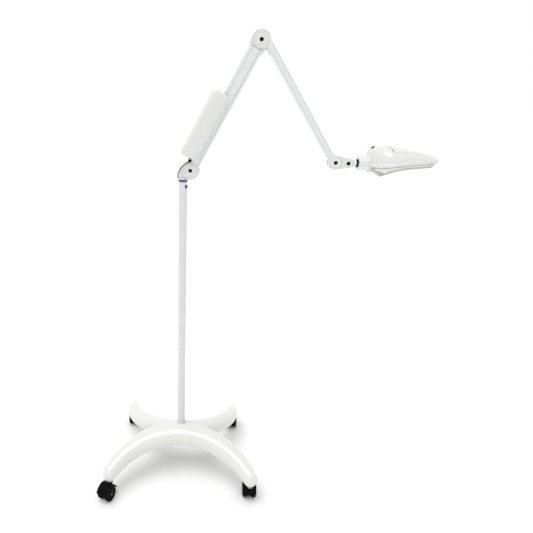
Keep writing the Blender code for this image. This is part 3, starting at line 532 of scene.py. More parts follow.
def build_caster(name):
    swivel, axle = PLACE[f"{name}_swivel"], PLACE[f"{name}_near_spin"]
    heading = math.atan2(axle.y - swivel.y, axle.x - swivel.x)
    trail = math.hypot(axle.x - swivel.x, axle.y - swivel.y)
    place = Matrix.Translation((swivel.x, swivel.y, 0.0)) @ Matrix.Rotation(heading, 4, "Z")
    hub = (trail, HUB_HEIGHT)
    web = prism(disc(hub, 0.0205), -0.0066, 0.0066)
    fork = carve(prism(tapered(hub, 0.010, (0.004, 0.046), 0.009, 24), -0.0055, 0.0055), ("UNION", web))
    outer = arc(hub, WHEEL_RADIUS + HOOD_RISE[1], HOOD_SPAN[0], HOOD_SPAN[1], 48)
    inner = arc(hub, WHEEL_RADIUS + HOOD_RISE[0], HOOD_SPAN[1], HOOD_SPAN[0], 48)
    hood = prism(outer + inner, -WHEEL_OUT, WHEEL_OUT)
    sleeve = turned([(0.0, 0.0495), (0.0105, 0.0495), (0.0105, 0.0535), (0.0098, 0.0545), (0.0072, 0.0548),
                     (0.0, 0.0548)], sides=48)
    bore = rod(AXLE_BORE, -0.02, 0.02, "Y", (hub[0], 0, hub[1]))
    fork = carve(fork, ("UNION", hood), ("UNION", sleeve), ("DIFFERENCE", bore))
    body = f"{name}_caster"
    piece(f"{name}_hood", fork, BLACK, body, [f"{name}_caster_fork"], place, bevel=0.0007)
    stem = turned([(0.0, 0.0549), (0.0085, 0.0549), (0.0088, 0.0552), (0.0088, 0.0561), (0.0085, 0.0564),
                   (0.0052, 0.0564), (0.0052, 0.0790), (0.0044, 0.0798), (0.0, 0.0798)], sides=48)
    piece(f"{name}_stem", stem, STEEL, body, (), place)
    axle_rod = turned([(0.0, -0.0208), (0.0024, -0.0208), (0.0030, -0.0202), (0.0030, 0.0202), (0.0024, 0.0208),
                       (0.0, 0.0208)], "Y", sides=32)
    at_hub = place @ Matrix.Translation((hub[0], 0.0, hub[1]))
    piece(f"{name}_axle", axle_rod, STEEL, body, [f"{name}_caster_axle"], at_hub)
    for side, direction in (("near", -1), ("far", 1)):
        tyre, hub_disc = wheel(direction)
        body = f"{name}_wheel_{side}"
        piece(f"{name}_tyre_{side}", tyre, RUBBER, body, [body], at_hub)
        for turn in range(HUB_HOLES):
            spin = Matrix.Rotation(2 * math.pi * turn / HUB_HOLES, 4, "Y")
            hole = rod(HUB_HOLE_RADIUS, 0.0150, 0.0230, "Y", (HUB_HOLES_AT, 0.0, 0.0), 20)
            if direction < 0:
                bmesh.ops.scale(hole, vec=(1.0, -1.0, 1.0), verts=hole.verts[:])
            hole.transform(spin)
            hub_disc = cut(hub_disc, hole)
        piece(f"{name}_hub_{side}", hub_disc, BLACK, body, (), at_hub)


# ---- arm ----

TONGUE = 0.0045
CHEEK_IN = 0.0061
CHEEK_OUT = 0.0110
LINK_CHEEK_IN = 0.0042
LINK_CHEEK_OUT = 0.0095
LINK_ROOM = 0.0010
CAP_THICKNESS = 0.0022
CAP_RADIUS = {"shoulder": 0.0205, "elbow": 0.0195, "wrist": 0.0165, "tilt": 0.0115}
SCREW_RADIUS = 0.0040
CHEEK_RADIUS = {"shoulder": 0.0240, "elbow": 0.0228, "wrist": 0.0195, "tilt": 0.0140}
TONGUE_RADIUS = {"shoulder": 0.0275, "elbow": 0.0259, "wrist": 0.0185, "tilt": 0.0120}
SLOT_CLEARANCE = 0.0016
# how far along and how high the upper arm is slotted, so that it folds over the elbow's tongue
FOLD_ROOM = (0.045, 0.0060)
BOX_ALONG = (0.029, 0.229)
BOX_ACROSS = (-0.0005, 0.0520)
BOX_HALF_DEPTH = 0.028
BOX_WALL = 0.0025
BOX_ROUND = 0.0125
SEAM_HALF = 0.0004
SEAM_DEPTH = 0.0006
GLAND_AT = (-0.0220, 0.0160)
ARM_SOFT = 0.0030
ARM_BAND = (-0.0092, 0.0097)
ARM_TOP_EDGE = 0.0205
ARM_LOWER_EDGE = -0.0177
LEAD_RADIUS = 0.0021
SWIVEL_RADIUS = 0.0050
NECK_RADIUS = 0.0195
NECK_SPAN = (-0.0297, 0.0100)
SWIVEL_WASHER = 0.0080
EDGE = 0.0009


def pivot_hole(centre):
    return rod(SCREW_RADIUS + GAP, -0.03, 0.03, "Y", centre, 32)


def build_bracket():
    low = BUSH_TOP + GAP
    spindle = [(0.0, 0.9895), (SPINDLE_RADIUS, 0.9895), (SPINDLE_RADIUS, low), (0.0120, low), (0.0124, low + 0.0004)]
    spindle += [(0.0124, low + 0.0029), (0.0120, low + 0.0033), (0.0, low + 0.0033)]
    web = [(-0.0185, low), (0.0135, low), (0.0300, 1.0600), SHOULDER, (0.0100, 1.1040)]
    web += [(-0.0040, 1.0920), (-0.0118, 1.0760), (-0.0118, low + 0.0065), (-0.0185, low + 0.0065)]
    tongue = prism(disc(SHOULDER, TONGUE_RADIUS["shoulder"]), -TONGUE, TONGUE)
    bracket = carve(
        turned(spindle, sides=80), ("UNION", tongue), ("UNION", prism(web, -TONGUE, TONGUE)),
        ("DIFFERENCE", pivot_hole((SHOULDER[0], 0.0, SHOULDER[1]))),
    )
    piece("bracket_knuckle", bracket, ALLOY, "bracket", ["shoulder_bracket"], STAND, bevel=0.0006)


def pivot_fittings(name, body, place, cheek_out):
    """A domed cap with a moulded ring, the socket-headed screw in it and the nut behind."""
    cap_radius = CAP_RADIUS[name]
    head = cheek_out + GAP
    low = -head - CAP_THICKNESS
    cap = [(0.0056, -head), (0.0056, low + 0.0003), (0.0060, low), (cap_radius - 0.0042, low)]
    cap += [(cap_radius - 0.0038, low + 0.0004), (cap_radius - 0.0032, low + 0.0004), (cap_radius - 0.0028, low)]
    cap += [(cap_radius - 0.0012, low + 0.0001), (cap_radius - 0.0004, low + 0.0005), (cap_radius, low + 0.0012)]
    cap += [(cap_radius, -head)]
    piece(f"{name}_cap_disc", turned(cap, "Y", sides=96), PLASTIC, body, [f"{name}_cap"], place)
    top = -head - 0.0022
    screw = [(0.0, top + 0.0012), (0.0022, top + 0.0012), (0.0022, top), (0.0042, top), (0.0048, top + 0.0005)]
    screw += [(0.0048, -head), (SCREW_RADIUS, -head), (SCREW_RADIUS, head), (0.0, head)]
    screw = turned(screw, "Y", sides=48)
    piece(f"{name}_screw", screw, BLACK, body, [f"{name}_pivot_screw"], place)
    nut = turned([(0.0, head), (0.0072, head), (0.0072, head + 0.0028), (0.0066, head + 0.0035),
                  (0.0046, head + 0.0035), (0.0040, head + 0.0030), (0.0, head + 0.0030)], "Y", sides=6)
    piece(f"{name}_nut", nut, BLACK, body, (), place, bevel=0.0003)


def build_lower_arm():
    length = LOWER_LENGTH
    end = length - CHEEK_RADIUS["elbow"] - 0.0012
    half, raised = CHEEK_OUT - 0.0030, CHEEK_OUT
    top, bottom, soft = ARM_TOP_EDGE, ARM_LOWER_EDGE, ARM_SOFT
    band_bottom, band_top = ARM_BAND
    right = arc((half - soft, bottom + soft), soft, -math.pi / 2, 0.0, 6)
    right += [(half, band_bottom - 0.0016), (half - 0.0010, band_bottom - 0.0012), (half - 0.0010, band_bottom)]
    right += [(raised - 0.0006, band_bottom), (raised, band_bottom + 0.0008), (raised, band_top - 0.0008)]
    right += [(raised - 0.0006, band_top), (half - 0.0010, band_top), (half - 0.0010, band_top + 0.0012)]
    right += [(half, band_top + 0.0016)]
    right += arc((half - soft, top - soft), soft, 0.0, math.pi / 2, 6)
    section = right + [(-y, z) for y, z in reversed(right)]
    tongue = tapered((length - 0.045, 0.0015), 0.0170, (length, 0.0), TONGUE_RADIUS["elbow"])
    slot = disc((0.0, 0.0), TONGUE_RADIUS["shoulder"] + SLOT_CLEARANCE)
    arm = carve(
        prism(section, 0.012, end, "X"),
        ("UNION", prism(disc((0.0, 0.0), CHEEK_RADIUS["shoulder"]), -CHEEK_OUT, CHEEK_OUT)),
        ("UNION", prism(tongue, -TONGUE, TONGUE)),
        ("DIFFERENCE", prism(slot, -CHEEK_IN, CHEEK_IN)),
        ("DIFFERENCE", pivot_hole((0, 0, 0))),
        ("DIFFERENCE", pivot_hole((length, 0, 0))),
    )
    piece("lower_arm_casting", arm, ALLOY, "lower_arm", ["lower_arm"], LOWER, bevel=EDGE)


def box_half(name, node_name, side):
    """One half shell of the ballast box, with a fine seam where the halves meet; side is -1 for the near half."""
    deep = BOX_HALF_DEPTH
    inner_x = (BOX_ALONG[0] + BOX_WALL, BOX_ALONG[1] - BOX_WALL)
    inner_z = (BOX_ACROSS[0] + BOX_WALL, BOX_ACROSS[1] - BOX_WALL)
    notch = CHEEK_OUT + GAP
    away = (-0.05, 0.0002) if side > 0 else (-0.0002, 0.05)
    lip = SEAM_DEPTH
    around_x = (BOX_ALONG[0] - 0.01, BOX_ALONG[1] + 0.01)
    around_z = (BOX_ACROSS[0] - 0.02, BOX_ACROSS[1] + 0.02)
    core_x = (BOX_ALONG[0] + lip, BOX_ALONG[1] - lip)
    core_z = (BOX_ACROSS[0] + lip, BOX_ACROSS[1] - lip)
    seam = cut(
        rounded_box(around_x, (-0.06, 0.06), around_z, 0.001, 1),
        rounded_box(core_x, (-deep, deep), core_z, 0.0119, 8),
        block((-0.1, 0.4), (SEAM_HALF, 0.1), (-0.1, 0.2)),
        block((-0.1, 0.4), (-0.1, -SEAM_HALF), (-0.1, 0.2)),
    )
    shell = carve(
        rounded_box(BOX_ALONG, (-deep, deep), BOX_ACROSS, BOX_ROUND, 10),
        ("DIFFERENCE", rounded_box(inner_x, (-deep + BOX_WALL, deep - BOX_WALL), inner_z, 0.0100, 8)),
        ("DIFFERENCE", block((0.0, 0.3), (-notch, notch), (-0.02, ARM_TOP_EDGE + GAP))),
        ("DIFFERENCE", block((0.0, 0.3), away, (-0.03, 0.08))),
        ("DIFFERENCE", seam),
    )
    piece(name, shell, PLASTIC, "lower_arm", [node_name], LOWER, sharp=30.0)


def build_ballast_box():
    box_half("box_shell_front", "ballast_box_front", -1)
    box_half("box_shell_rear", "ballast_box_rear", 1)
    paint(IRON, "ballast_unit")
    start = BOX_ALONG[0] - GAP
    gland = [(0.0, start - 0.0080), (0.0022, start - 0.0080), (0.0030, start - 0.0076), (0.0034, start - 0.0066)]
    gland += [(0.0034, start - 0.0060), (0.0037, start - 0.0057), (0.0037, start - 0.0046), (0.0040, start - 0.0043)]
    gland += [(0.0040, start - 0.0030), (0.0046, start - 0.0026), (0.0046, start), (0.0, start)]
    gland = turned(gland, "X", (0, *GLAND_AT), 40)
    piece("lead_boot", gland, BLACK, "lower_arm", ["lead_gland"], LOWER)


def smooth_route(route, steps):
    """Points of a smooth curve through the route, steps to each span."""
    points = []
    for i in range(len(route) - 1):
        before, start = route[max(i - 1, 0)], route[i]
        end, after = route[i + 1], route[min(i + 2, len(route) - 1)]
        for k in range(steps):
            t = k / steps
            lead_in = 0.5 * (end - before)
            lead_out = 0.5 * (after - start)
            cubic = (2 * t ** 3 - 3 * t ** 2 + 1) * start + (t ** 3 - 2 * t ** 2 + t) * lead_in
            points.append(cubic + (3 * t ** 2 - 2 * t ** 3) * end + (t ** 3 - t ** 2) * lead_out)
    points.append(route[-1])
    return points


def sweep(points, radius, around=16):
    """A round tube along the points, with closed ends."""
    bm = bmesh.new()
    rings = []
    side = None
    for i, point in enumerate(points):
        ahead = (points[min(i + 1, len(points) - 1)] - points[max(i - 1, 0)]).normalized()
        if side is None:
            side = ahead.orthogonal().normalized()
        side = (side - ahead * side.dot(ahead)).normalized()
        up = ahead.cross(side)
        loop = []
        for k in range(around):
            turn = 2 * math.pi * k / around
            loop.append(bm.verts.new(point + radius * (math.cos(turn) * side + math.sin(turn) * up)))
        rings.append(loop)
    return loft(bm, rings)


def build_ballast_lead():
    """The lead from the box's gland round the shoulder, shaped between the lower arm and the bracket."""
    gland = STAND.inverted() @ LOWER @ Vector((BOX_ALONG[0] - 0.0080, *GLAND_AT))
    route = [gland, Vector((0.0125, -0.0228, 1.1045)), Vector((0.0050, -0.0235, 1.1005))]
    route += [Vector((-0.0030, -0.0225, 1.0935)), Vector((-0.0105, -0.0185, 1.0820))]
    route += [Vector((-0.0148, -0.0110, 1.0715)), Vector((-0.0150, -0.0025, 1.0645))]
    route += [Vector((-0.0150, -0.0010, BUSH_TOP + 0.0068))]
    lead = sweep(smooth_route(route, 8), LEAD_RADIUS, 20)
    lead.transform(STAND)
    made = raw_object("shoulder_lead", lead)
    made.data.shade_smooth()
    made.data.materials.append(CORD)
    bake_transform(made)
    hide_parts("ballast_lead")


def build_upper_arm():
    length = UPPER_LENGTH
    outline = [(0.0, 0.0022), (length, -0.0128), (length, 0.0065), (0.0, 0.0215)]
    grooves = []
    for side in (-1, 1):
        face = sorted((side * (CHEEK_OUT - 0.0009), side * (CHEEK_OUT + 0.01)))
        for near, far in ((0.0058, -0.0092), (0.0178, 0.0030)):
            line = [(0.024, near), (length - 0.021, far), (length - 0.021, far + 0.0013), (0.024, near + 0.0013)]
            grooves.append(("DIFFERENCE", prism(line, *face)))
    elbow_slot = disc((0.0, 0.0), TONGUE_RADIUS["elbow"] + SLOT_CLEARANCE)
    wrist_slot = disc((length, 0.0), TONGUE_RADIUS["wrist"] + SLOT_CLEARANCE)
    arm = carve(
        prism(outline, -CHEEK_OUT, CHEEK_OUT),
        ("UNION", prism(disc((0.0, 0.0), CHEEK_RADIUS["elbow"]), -CHEEK_OUT, CHEEK_OUT)),
        ("UNION", prism(disc((length, 0.0), CHEEK_RADIUS["wrist"]), -CHEEK_OUT, CHEEK_OUT)),
        ("DIFFERENCE", prism(elbow_slot, -CHEEK_IN, CHEEK_IN)),
        ("DIFFERENCE", prism(wrist_slot, -CHEEK_IN, CHEEK_IN)),
        ("DIFFERENCE", block((0.0, FOLD_ROOM[0]), (-CHEEK_IN, CHEEK_IN), (-0.03, FOLD_ROOM[1]))),
        ("DIFFERENCE", pivot_hole((0, 0, 0))),
        ("DIFFERENCE", pivot_hole((length, 0, 0))),
        *grooves,
    )
    piece("upper_arm_casting", arm, ALLOY, "upper_arm", ["upper_arm"], UPPER, bevel=0.0005)


def build_link():
    far = (LINK_LENGTH, 0.0)
    outline = tapered((0.0, 0.0), TONGUE_RADIUS["wrist"], far, CHEEK_RADIUS["tilt"])
    body = prism(outline, -LINK_CHEEK_OUT, LINK_CHEEK_OUT)
    holes = []
    for side in (-1, 1):
        round_wrist = disc((0.0, 0.0), CHEEK_RADIUS["wrist"] + LINK_ROOM)
        holes.append(prism(round_wrist, *sorted((side * TONGUE, side * 0.02))))
    slot = disc(far, TONGUE_RADIUS["tilt"] + LINK_ROOM)
    holes.append(prism(slot, -LINK_CHEEK_IN, LINK_CHEEK_IN))
    holes.append(block((LINK_LENGTH, 0.07), (-LINK_CHEEK_IN, LINK_CHEEK_IN), (-0.0168, 0.0168)))
    holes += [pivot_hole((0, 0, 0)), pivot_hole((LINK_LENGTH, 0, 0))]
    piece("link_casting", cut(body, *holes), ALLOY, "link", ["head_link"], LINK, bevel=0.0007)


def build_tilt_eye():
    thick = LINK_CHEEK_IN - 0.0006
    flange = CHEEK_RADIUS["tilt"] + GAP
    seat = HEAD_OFFSET + NECK_SPAN[0] - GAP - SWIVEL_WASHER - GAP
    collar = seat + 0.0028
    spindle = [(0.0, 0.006), (thick, 0.006), (thick, flange), (0.0100, flange), (0.0105, flange + 0.0005)]
    spindle += [(0.0105, collar - 0.0005), (0.0100, collar), (SWIVEL_RADIUS, collar)]
    spindle += [(SWIVEL_RADIUS, HEAD_OFFSET - 0.003), (0.0, HEAD_OFFSET - 0.003)]
    eye = carve(
        prism(disc((0.0, 0.0), TONGUE_RADIUS["tilt"]), -thick, thick), ("UNION", turned(spindle, "X", sides=64)),
        ("DIFFERENCE", pivot_hole((0, 0, 0))),
    )
    piece("tilt_eye_casting", eye, ALLOY, "tilt_eye", ["tilt_eye"], TILT, bevel=0.0004)
    washer = ring(SWIVEL_RADIUS + GAP, 0.0112, collar + GAP, seat + GAP + SWIVEL_WASHER, "X", ease=0.0006)
    piece("swivel_ring", washer, RUBBER, "tilt_eye", ["swivel_washer"], TILT)


# ---- head ----

HEAD_HALF_WIDTH = 0.081
HEAD_HEIGHT = 0.0465
SHELL_BASE = 0.0010
SHELL_WALL = 0.0025
COVER_WALL = 0.0022
COVER_REAR = 0.0440
COVER_MARGIN = 0.016
LENS_CENTRE = 0.107
LENS_RADIUS = 0.0552
# level of the lens's middle plane, half thickness at its rim, and how far each face rises
LENS_LEVEL, LENS_EDGE, LENS_BULGE = 0.0063, 0.0015, 0.0040
# the lamp tube's two limbs from the neck, its level, its radius and its cut ends
TUBE_LIMBS, TUBE_LEVEL, TUBE_RADIUS, TUBE_END = (0.0225, 0.0365), -0.0100, 0.0052, 0.0360
FRAME_WALL, FRAME_LIP = 0.0030, 0.0018
KEEL_AT = 0.0120
FRAME_INSET = 0.0040
SWITCH_TILT = math.radians(-38)
RIM_REAR = -0.0085
RIM_TIP = 0.0058
# the white band runs between these; at the rear wall and the tip the keel's grey is painted shade
BAND_SPAN = (0.0080, 0.1740)
WEDGE_AT = 0.026
KEEL_STRIP = 0.0062
PIN_BORE = 0.0013
COVER_SEAM = 0.0007
# section of the rolled rim, as the distance out and the rise above the shell's edge
RIM_ROLL = ((-0.0030, 0.0003), (0.0004, 0.0003), (0.0016, 0.0012), (0.0023, 0.0028), (0.0025, 0.0045),
            (0.0021, 0.0065), (0.0010, 0.0086), (-0.0008, 0.0104), (-0.0050, 0.0120))
SWITCH_RADIUS = 0.0045
SWITCH_PLACE = (0.0095, 0.0060, 0.0437)


def rounding(share, power):
    held = min(max(share, 0.0), 1.0)
    return (1 - (1 - held) ** power) ** (1 / power)


def half_width(share):
    """Half width of the head at a share of its length."""
    taper = 1 - 0.42 * max(0.0, (share - 0.35) / 0.65) ** 1.6
    return HEAD_HALF_WIDTH * taper * rounding(share / 0.24, 2.4) * rounding((1 - share) / 0.16, 2.0)


def crest(share):
    """Height of the head's dome at a share of its length."""
    fall = 1 - 0.60 * max(0.0, (share - 0.24) / 0.76) ** 1.5
    return HEAD_HEIGHT * fall * rounding(share / 0.13, 3.0) * rounding((1 - share) / 0.12, 2.0)


def end_spaced(count):
    """Shares from 0 to 1 that lie closer together near both ends."""
    shares = []
    for i in range(count):
        shares.append(0.5 - 0.5 * math.cos(math.pi * (i + 0.4) / (count - 0.2)))
    return shares


def shell_edge(x):
    """Level of the shell's lower rim, low at the rear and rising to the tip."""
    return SHELL_BASE + RIM_REAR + (RIM_TIP - RIM_REAR) * (1 - max(0.0, 1 - x / HEAD_LENGTH) ** 2.2)


def head_form(inset=0.0, below=0.0, stations=64, around=48):
    """The head's dome as a solid, drawn in by inset and carried down by below."""
    bm = bmesh.new()
    rings = []
    for share in end_spaced(stations):
        x = inset + share * (HEAD_LENGTH - 2 * inset)
        width = half_width(share) * (1 - inset / HEAD_HALF_WIDTH)
        height = crest(share) * (1 - inset / HEAD_HEIGHT)
        base = shell_edge(x)
        floor = base - below
        loop = [bm.verts.new((x, width, floor))]
        for k in range(around + 1):
            turn = math.pi * k / around
            y = math.copysign(abs(math.cos(turn)) ** 0.62, math.cos(turn)) * width
            z = abs(math.sin(turn)) ** 0.77 * height
            loop.append(bm.verts.new((x, y, base + 0.0001 + z * (height + SHELL_BASE - base) / height)))
        loop.append(bm.verts.new((x, -width, floor)))
        rings.append(loop)
    return loft(bm, rings)


def plan(inset, stations=72):
    """The head's outline seen from above, drawn in by inset."""
    points = []
    keel_share = (KEEL_AT - FRAME_INSET) / (HEAD_LENGTH - 2 * FRAME_INSET)
    for share in sorted(end_spaced(stations) + [keel_share]):
        x = inset + share * (HEAD_LENGTH - 2 * inset)
        points.append((x, half_width(share) * (1 - inset / HEAD_HALF_WIDTH)))
    return points + [(x, -y) for x, y in reversed(points)]


def cover_outline(margin, rear):
    """The lens cover's outline seen from above, straight at its rear."""
    kept = [(x, y) for x, y in plan(margin, 72) if x > rear + 0.002 and y > 0]
    share = (rear - margin) / (HEAD_LENGTH - 2 * margin)
    side = [(rear, half_width(share) * (1 - margin / HEAD_HALF_WIDTH))] + kept
    return side + [(x, -y) for x, y in reversed(side)]


def rim_roll():
    """The rolled lower rim of the shell, standing a little proud of its sides."""
    line = plan(0.0, 96)
    count = len(line)
    bm = bmesh.new()
    loops = []
    for out, up in RIM_ROLL:
        loop = []
        for i, (x, y) in enumerate(line):
            ahead, behind = line[(i + 1) % count], line[i - 1]
            run = Vector((ahead[0] - behind[0], ahead[1] - behind[1])).normalized()
            place = Vector((x, y)) + out * Vector((-run.y, run.x))
            place.x = min(place.x, HEAD_LENGTH - 0.0002)
            loop.append(bm.verts.new((place.x, place.y, shell_edge(x) + up)))
        loops.append(loop)
    return loft(bm, loops, closed=True)


def frame_top(x):
    """Line between the white wedge and the keel, whose grey is painted shade."""
    if x < WEDGE_AT:
        return -0.0150 - 0.0040 * max(0.0, x - 0.010) / (WEDGE_AT - 0.010)
    return max(0.0012 - 0.0202 * math.exp(-(x - WEDGE_AT) / 0.037), keel(x) + KEEL_STRIP)


def keel(x):
    """Level of the lower frame's bottom edge."""
    if x < KEEL_AT:
        return -0.0205 - 0.0107 * (x / KEEL_AT) ** 1.4
    return -0.0058 - 0.0254 * math.exp(-(x - KEEL_AT) / 0.0345)


def skirt(section):
    """Sweep a section of (inset, height function) round the head's outline."""
    bm = bmesh.new()
    loops = []
    wall = [x for x, _ in plan(FRAME_INSET)]
    for inset, level in section:
        loops.append([bm.verts.new((x, y, level(at))) for (x, y), at in zip(plan(inset), wall)])
    return loft(bm, loops, closed=True)


def neck_room():
    """Room for the eight-sided neck, with clearance."""
    radius = (NECK_RADIUS + GAP) / math.cos(math.pi / 8)
    outline = arc((0.0, 0.0), radius, math.pi / 8, math.pi / 8 + 1.75 * math.pi, 7)
    return prism(outline, NECK_SPAN[0] - 0.01, NECK_SPAN[1] + GAP, "X")


def build_neck():
    outline = arc((0.0, 0.0), NECK_RADIUS / math.cos(math.pi / 8), math.pi / 8, math.pi / 8 + 1.75 * math.pi, 7)
    neck = cut(prism(outline, NECK_SPAN[0], NECK_SPAN[1], "X"), rod(0.0053, NECK_SPAN[0] - 0.01, -0.0025, "X"))
    piece("neck_casting", neck, ALLOY, "head", ["neck_block"], HEAD, bevel=0.0014)


def switch_frame():
    """The switch's own frame in the head."""
    return Matrix.Translation(SWITCH_PLACE) @ Matrix.Rotation(SWITCH_TILT, 4, "Y")


def build_shell():
    switch_hole = rod(SWITCH_RADIUS + GAP, -0.006, 0.006)
    switch_hole.transform(switch_frame())
    steps = [("DIFFERENCE", head_form(SHELL_WALL, 0.006))]
    steps.append(("DIFFERENCE", prism(cover_outline(COVER_MARGIN, COVER_REAR - 0.0028), 0.010, 0.080, "Z")))
    for side in (-1, 1):
        lug_y = sorted((side * 0.012, side * 0.018))
        steps.append(("UNION", block((0.0340, 0.0490), lug_y, (HINGE[1] - 0.0026, HINGE[1] + 0.0014))))
    pin_hole = rod(PIN_BORE, -0.019, 0.019, "Y", (HINGE[0], 0.0, HINGE[1]), 24)
    steps += [("DIFFERENCE", neck_room()), ("DIFFERENCE", switch_hole), ("DIFFERENCE", pin_hole)]
    shell = carve(head_form(), *steps)
    piece("shell_moulding", shell, PLASTIC, "head", ["head_shell"], HEAD, sharp=38.0)
    piece("shell_rim", rim_roll(), PLASTIC, "head", (), HEAD, sharp=60.0)


def build_cover():
    steps = [("DIFFERENCE", head_form(COVER_WALL, 0.006))]
    outline = cover_outline(COVER_MARGIN + COVER_SEAM, COVER_REAR)
    steps.append(("INTERSECT", prism(outline, 0.005, 0.085, "Z")))
    x, z = HINGE
    steps.append(("UNION", block((x - 0.0022, x + 0.0030), (-0.0115, 0.0115), (z - 0.0022, z + 0.0030))))
    for side in (-1, 1):
        notch_y = sorted((side * 0.0115, side * 0.0185))
        steps.append(("DIFFERENCE", block((x - 0.01, x + 0.0055), notch_y, (z - 0.01, z + 0.01))))
    pin_hole = rod(PIN_BORE, -0.03, 0.03, "Y", (x, 0.0, z), 24)
    scoop = rod(0.0085, 0.0, 0.06, centre=(HEAD_LENGTH - COVER_MARGIN - 0.0010, 0.0, 0.0), sides=64)
    steps += [("DIFFERENCE", pin_hole), ("DIFFERENCE", scoop)]
    cover = carve(head_form(), *steps)
    piece("cover_moulding", cover, PLASTIC, "cover", ["lens_cover"], HEAD, sharp=38.0)
    pin = turned([(0.0, -0.0178), (0.0007, -0.0178), (0.0010, -0.0175), (0.0010, 0.0175), (0.0007, 0.0178),
                  (0.0, 0.0178)], "Y", (x, 0.0, z), 24)
    tip_x = HEAD_LENGTH - COVER_MARGIN
    level = shell_edge(tip_x) + crest(tip_x / HEAD_LENGTH) - 0.0040
    catch = rounded_box((tip_x - 0.0110, tip_x - 0.0015), (-0.0095, 0.0095), (level - 0.0060, level), 0.0008, 2)
    piece("cover_catch", catch, BLACK, "head", (), HEAD)
    piece("cover_pin", pin, STEEL, "head", ["cover_hinge_pin"], HEAD)


def build_optics():
    centre = (LENS_CENTRE, 0.0, 0.0)
    pan = cut(prism(plan(0.006), 0.0040, 0.0058, "Z"), rod(0.0575, 0.0, 0.02, centre=centre, sides=96), neck_room())
    piece("reflector", pan, ALLOY, "head", ["reflector_pan"], HEAD)
    seat = [(0.0533, 0.0020), (0.0567, 0.0020), (0.0570, 0.0023), (0.0570, 0.0061), (0.0612, 0.0061)]
    seat += [(0.0615, 0.0064), (0.0615, 0.0077), (0.0612, 0.0080), (0.0589, 0.0080), (0.0585, 0.0084)]
    seat += [(0.0585, 0.0120), (0.0582, 0.0125), (0.0559, 0.0125), (0.0556, 0.0122), (0.0556, 0.0045)]
    seat += [(0.0530, 0.0045), (0.0530, 0.0023)]
    piece("lens_seat", turned(seat, "Z", centre, 128), PLASTIC, "head", ["lens_ring"], HEAD)
    middle, edge, bulge = LENS_LEVEL, LENS_EDGE, LENS_BULGE
    face = []
    for k in range(25):
        share = k / 24
        face.append((LENS_RADIUS * share, middle - edge - bulge * (1 - share ** 2)))
    face += [(radius, 2 * middle - level) for radius, level in reversed(face)]
    lens = turned(face, "Z", centre, 128)
    piece("lens", lens, GLASS, "head", ["magnifier_lens"], HEAD, sharp=50.0)


def build_lamp():
    (first, second), end = TUBE_LIMBS, TUBE_END
    bend = 0.5 * (second - first)
    centre = (0.5 * (first + second), -0.030)
    route = [(first, end), (first, 0.01)] + arc(centre, bend, math.pi, 2 * math.pi, 20)
    route += [(second, 0.01), (second, end)]
    tube = sweep([Vector((x, y, TUBE_LEVEL)) for x, y in route], TUBE_RADIUS, 28)
    piece("tube", tube, TUBE, "head", ["lamp_tube"], HEAD)
    holder = rounded_box((0.0175, 0.0415), (end + GAP, 0.0445), (-0.0160, 0.0030), 0.0010, 3)
    piece("tube_holder", holder, PLASTIC, "head", ["lamp_holder"], HEAD)


def band_top(x):
    """Top of the lower frame, just under the shell's edge."""
    return shell_edge(x) - 0.0018


def band_foot(x):
    """Lower edge of the white wedge."""
    return min(frame_top(x), band_top(x) - 0.0010)


def divide(x):
    """Where the white wedge ends and the keel's painted shade begins; both ends are painted grey as shade."""
    return band_foot(x) if BAND_SPAN[0] < x < BAND_SPAN[1] else band_top(x)


def build_lower_frame():
    wall, lip, steps = FRAME_WALL, FRAME_LIP, 7
    outer, inner = [], []
    for k in range(steps + 1):
        share = k / steps
        lean = FRAME_INSET + 0.0060 * share ** 1.6
        outer.append((lean, lambda x, s=share: divide(x) + (keel(x) - divide(x)) * s))
        if k < steps:
            inner.append((lean + wall, lambda x, s=share: divide(x) + (keel(x) + lip - divide(x)) * s))
    section = outer + [(0.0180, keel), (0.0180, lambda x: keel(x) + lip)] + inner[::-1]
    frame_bm = cut(skirt(section), neck_room())
    # the keel's grey-green colour is painted shade on the white moulding's down-facing walls
    piece("keel_frame", frame_bm, PAINTED_SHADE, "head", ["lower_frame"], HEAD, sharp=40.0)
    near, far = FRAME_INSET - 0.0008, FRAME_INSET + 0.0022
    section = [(near + 0.0004, band_top), (near, lambda x: band_top(x) - 0.0004), (near, band_foot)]
    section += [(far, band_foot), (far, band_top)]
    # the band stops short of the rear and the tip, where the keel's grey shows as painted shade
    rear_end = block((-0.02, BAND_SPAN[0]), (-0.1, 0.1), (-0.05, 0.05))
    tip_end = block((BAND_SPAN[1], 0.25), (-0.1, 0.1), (-0.05, 0.05))
    band = cut(skirt(section), rear_end, tip_end)
    piece("keel_band", band, BAND, "head", (), HEAD, sharp=40.0)
    section = [
        (0.0088, lambda x: 0.0034),
        (0.0088, lambda x: keel(x) + 0.0026),
        (0.0104, lambda x: keel(x) + 0.0026),
        (0.0104, lambda x: 0.0034),
    ]
    diffuser = cut(skirt(section), neck_room())
    piece("diffuser_wall", diffuser, MILKY, "head", ["light_diffuser"], HEAD, sharp=40.0)


def build_switch():
    button = [(0.0, -0.0080), (0.0056, -0.0080), (0.0056, -0.0066), (SWITCH_RADIUS, -0.0066), (SWITCH_RADIUS, 0.0012)]
    button += [(0.0042, 0.0018), (0.0036, 0.0021), (0.0026, 0.0019), (0.0012, 0.0016), (0.0, 0.0015)]
    place = HEAD @ switch_frame()
    piece("switch_button", turned(button, sides=56), BLACK, "switch", ["power_switch"], place)


# ---- studio ----

FLOOR_RADIUS = 60.0
SUN_ENERGY = 1.55
SUN_ANGLE = math.radians(45)
SUN_WAY = (0.22, 0.22, -1.0)
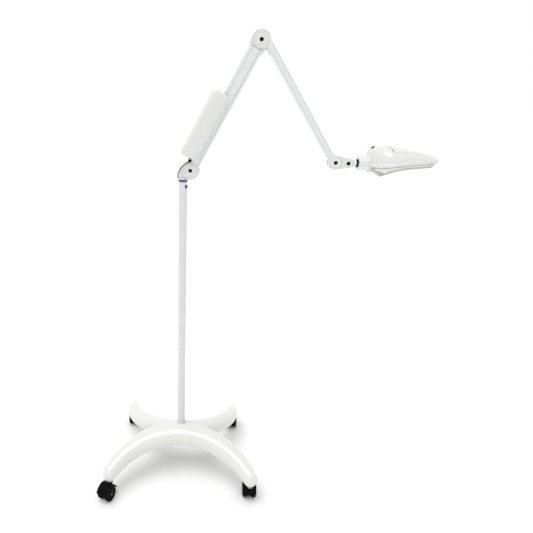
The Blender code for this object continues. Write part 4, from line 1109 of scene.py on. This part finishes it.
# the world's strength along an axis: axis, start and end of the change, and strength at each
WORLD_FADES = (("Z", 0.20, 0.60, 1.0, 0.80), ("Y", 0.15, 0.60, 0.76, 1.0))


def build_studio():
    floor = rod(FLOOR_RADIUS, -0.02, 0.0, sides=96)
    made = raw_object("studio_floor", floor)
    made.data.materials.append(surface("studio_floor", (0.95, 0.95, 0.95), 0.85, grain=60.0, depth=0.01, vary=0.001))
    world = bpy.data.worlds.new("studio")
    world.use_nodes = True
    bpy.context.scene.world = world
    tree = world.node_tree
    background = tree.nodes["Background"]
    where = node(tree, "ShaderNodeTexCoord")
    split = node(tree, "ShaderNodeSeparateXYZ")
    link(tree, where, "Generated", split, "Vector")
    both = node(tree, "ShaderNodeMath", operation="MULTIPLY")
    for target, (axis, *spans) in zip(both.inputs, WORLD_FADES):
        part = map_range(tree, *spans)
        link(tree, split, axis, part, "Value")
        tree.links.new(part.outputs["Result"], target)
    link(tree, both, "Value", background, "Strength")
    background.inputs["Color"].default_value = (1.0, 1.0, 1.0, 1.0)
    sun = bpy.data.lights.new("key", "SUN")
    sun.energy = SUN_ENERGY
    sun.angle = SUN_ANGLE
    made = bpy.data.objects.new("key", sun)
    bpy.context.collection.objects.link(made)
    made.rotation_euler = Vector(SUN_WAY).to_track_quat("-Z", "Y").to_euler()


def build():
    build_base()
    build_pole()
    for name in CORNERS:
        build_caster(name)
    build_bracket()
    build_lower_arm()
    build_ballast_box()
    build_ballast_lead()
    build_upper_arm()
    build_link()
    build_tilt_eye()
    pivot_fittings("shoulder", "lower_arm", LOWER, CHEEK_OUT)
    pivot_fittings("elbow", "upper_arm", UPPER, CHEEK_OUT)
    pivot_fittings("wrist", "link", LINK, CHEEK_OUT)
    pivot_fittings("tilt", "link", TILT, LINK_CHEEK_OUT)
    paint(BLACK, "shoulder_washer_near", "shoulder_washer_far", "elbow_washer_near", "elbow_washer_far")
    build_neck()
    build_shell()
    build_cover()
    build_optics()
    build_lamp()
    build_lower_frame()
    build_switch()
    build_studio()


build()
